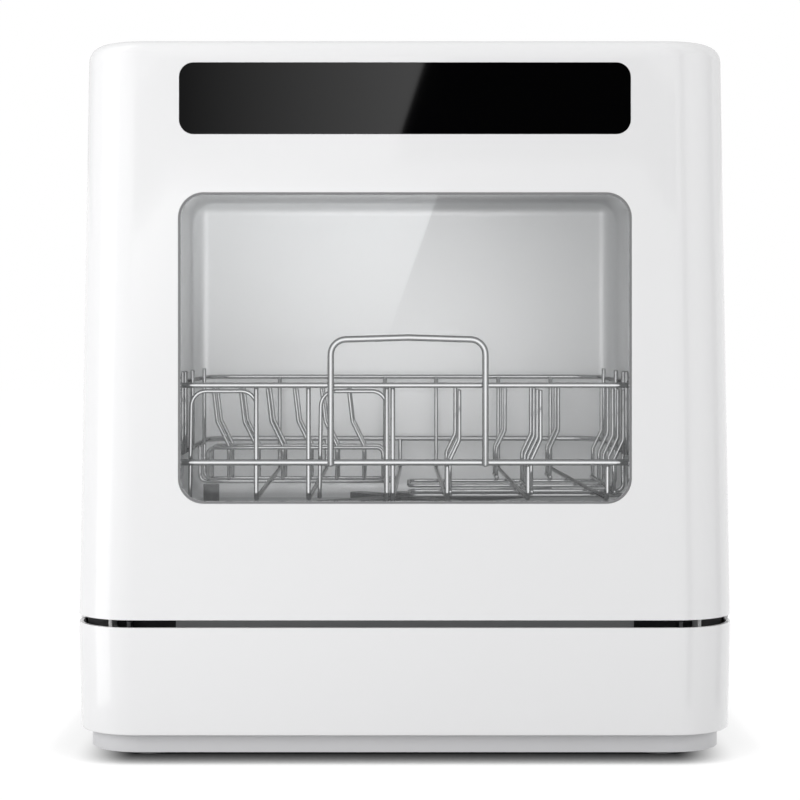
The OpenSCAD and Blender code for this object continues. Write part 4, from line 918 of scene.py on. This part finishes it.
lamp("key", (-1.25, -1.35, 0.62), (0, -0.1, 0.22), 1.1, 1.3, 18.0)
lamp("fill", (1.7, -0.9, 0.6), (0, -0.1, 0.26), 0.9, 1.2, 10.9)
lamp("top", (0, 0.1, 1.9), (0, 0, 0.2), 1.4, 1.4, 4.5)
lamp("tub_glow", (-0.07, -0.02, 0.29), (-0.06, 0.18, 0.295), 0.22, 0.1, 0.185)

GRID_REACH = (0.05, 0.32)      # how far a grid lets light stray, as Layer Weight's facing


def card(name, points, strength, grow=None, grid=None):
    """A card that only reflections see, with its corners in millimetres.

    grow is an axis, its span and the light at its start, from where the light rises to strength.
    grid is the light aside of a card with an egg-crate grid, which shines to its back alone."""
    mat = bpy.data.materials.new(name)
    nt, surface_in = bare_tree(mat)
    glow = add_node(nt, "Emission", Strength=strength)
    shader = glow
    if grow is not None:
        axis, span, start = grow
        light = ramp(nt, position(nt, axis), [c * MM for c in span], (start, strength), "LINEAR")
        nt.links.new(light, glow.inputs["Strength"])
    if grid is not None:
        facing = nt.nodes.new("ShaderNodeLayerWeight").outputs["Facing"]
        nt.links.new(ramp(nt, facing, GRID_REACH, (strength, grid)), glow.inputs["Strength"])
        shader = nt.nodes.new("ShaderNodeMixShader")
        nt.links.new(nt.nodes.new("ShaderNodeNewGeometry").outputs["Backfacing"], shader.inputs["Fac"])
        nt.links.new(nt.nodes.new("ShaderNodeBsdfTransparent").outputs[0], shader.inputs[1])
        nt.links.new(glow.outputs[0], shader.inputs[2])
    nt.links.new(shader.outputs[0], surface_in)
    ob = mesh_object(name, points, [tuple(range(len(points)))])
    ob.data.materials.append(mat)
    for ray in ("camera", "diffuse", "shadow", "transmission", "volume_scatter"):
        setattr(ob, "visible_" + ray, False)


def upright_card(name, y, z, left, right, strength, **kw):
    """A card across the view. left and right give its sides' x at its foot and at its head."""
    corners = ((left[0], z[0]), (right[0], z[0]), (right[1], z[1]), (left[1], z[1]))
    card(name, [(x, y, height) for x, height in corners], strength, **kw)


HALF_SEEN = HALF - 3           # half of the case's width at the height of the window
SIGHT = 8.6                    # roughly how far aside the camera looks at a front corner, in degrees
CARD_HEIGHT = 900


def corner_card(name, s, facing, half, strength, near=105):
    """An upright strip, mirrored where the front corner faces so many degrees to side s.

    half is half of the stretch of the corner that shows it, in degrees."""
    a, turn = math.radians(facing), math.radians(2 * facing + SIGHT)
    across, depth = HALF_SEEN - CORNER_R * (1 - math.sin(a)), CORNER_R * (1 - math.cos(a))
    mirror = Vector((s * across, FRONT + depth, 1))
    middle = mirror + Vector((s * math.sin(turn), -math.cos(turn), 0)) * near
    aside = Vector((s * math.cos(turn), math.sin(turn), 0)) * near * math.tan(math.radians(2 * half))
    up = Vector((0, 0, CARD_HEIGHT))
    corners = (middle - aside, middle + aside, middle + aside + up, middle - aside + up)
    card(name, [tuple(corner) for corner in corners], strength)


# edges of the soft boxes, seen slanting in the panel and in the window
CARD_Y, CARD_HALF = FRONT - 600, 420
PANEL_SPAN, WINDOW_SPAN = (430, 560), (235, 405)
SLANT = (-11, 32)              # where light and dark meet in the panel, at its foot and at its head
upright_card("panel_card", CARD_Y, PANEL_SPAN, (-CARD_HALF, -CARD_HALF), SLANT, 1.44,
             grow=("X", (-215, 10), 0.2))
upright_card("panel_flag", CARD_Y, PANEL_SPAN, SLANT, (CARD_HALF, CARD_HALF), 0)
upright_card("window_card", CARD_Y, WINDOW_SPAN, (-CARD_HALF, -CARD_HALF), (-26, 35), 2.5,
             grow=("Z", (257, 400), 1))
# light on the rack's wires, as from the window in front of them
upright_card("rack_card", -176.6, (150, 366), (-150, -150), (150, 150), 1.9, grid=0.4)
# pale cloth behind, mirrored in the rounded top edge
upright_card("rear_flag", 600, (460, 2700), (-1500, -1500), (1500, 1500), 0.77)
# the strips that the front corners show as upright bands
corner_card("left_soft_box", -1, 31.5, 9, 2.5)
corner_card("right_flag", 1, 13.6, 3, 0)
corner_card("right_side_flag", 1, 47, 4, 0.5)

# ------------------------------------------------------------------ the camera
EYE = (-3.1, FRONT - 1200, 259.4)
FRAME_PX, FOCAL_PX, HORIZON_PX, SENSOR = 800, 1915, 343, 36

camera_data = bpy.data.cameras.new("camera")
camera = add_object("camera", camera_data)
camera.location = [c * MM for c in EYE]
camera.rotation_euler = (math.pi / 2, 0, 0)
camera_data.sensor_width = SENSOR
camera_data.lens = SENSOR * FOCAL_PX / FRAME_PX
camera_data.shift_y = (HORIZON_PX - FRAME_PX / 2) / FRAME_PX
camera_data.clip_start, camera_data.clip_end = 0.02, 60
scene.camera = camera
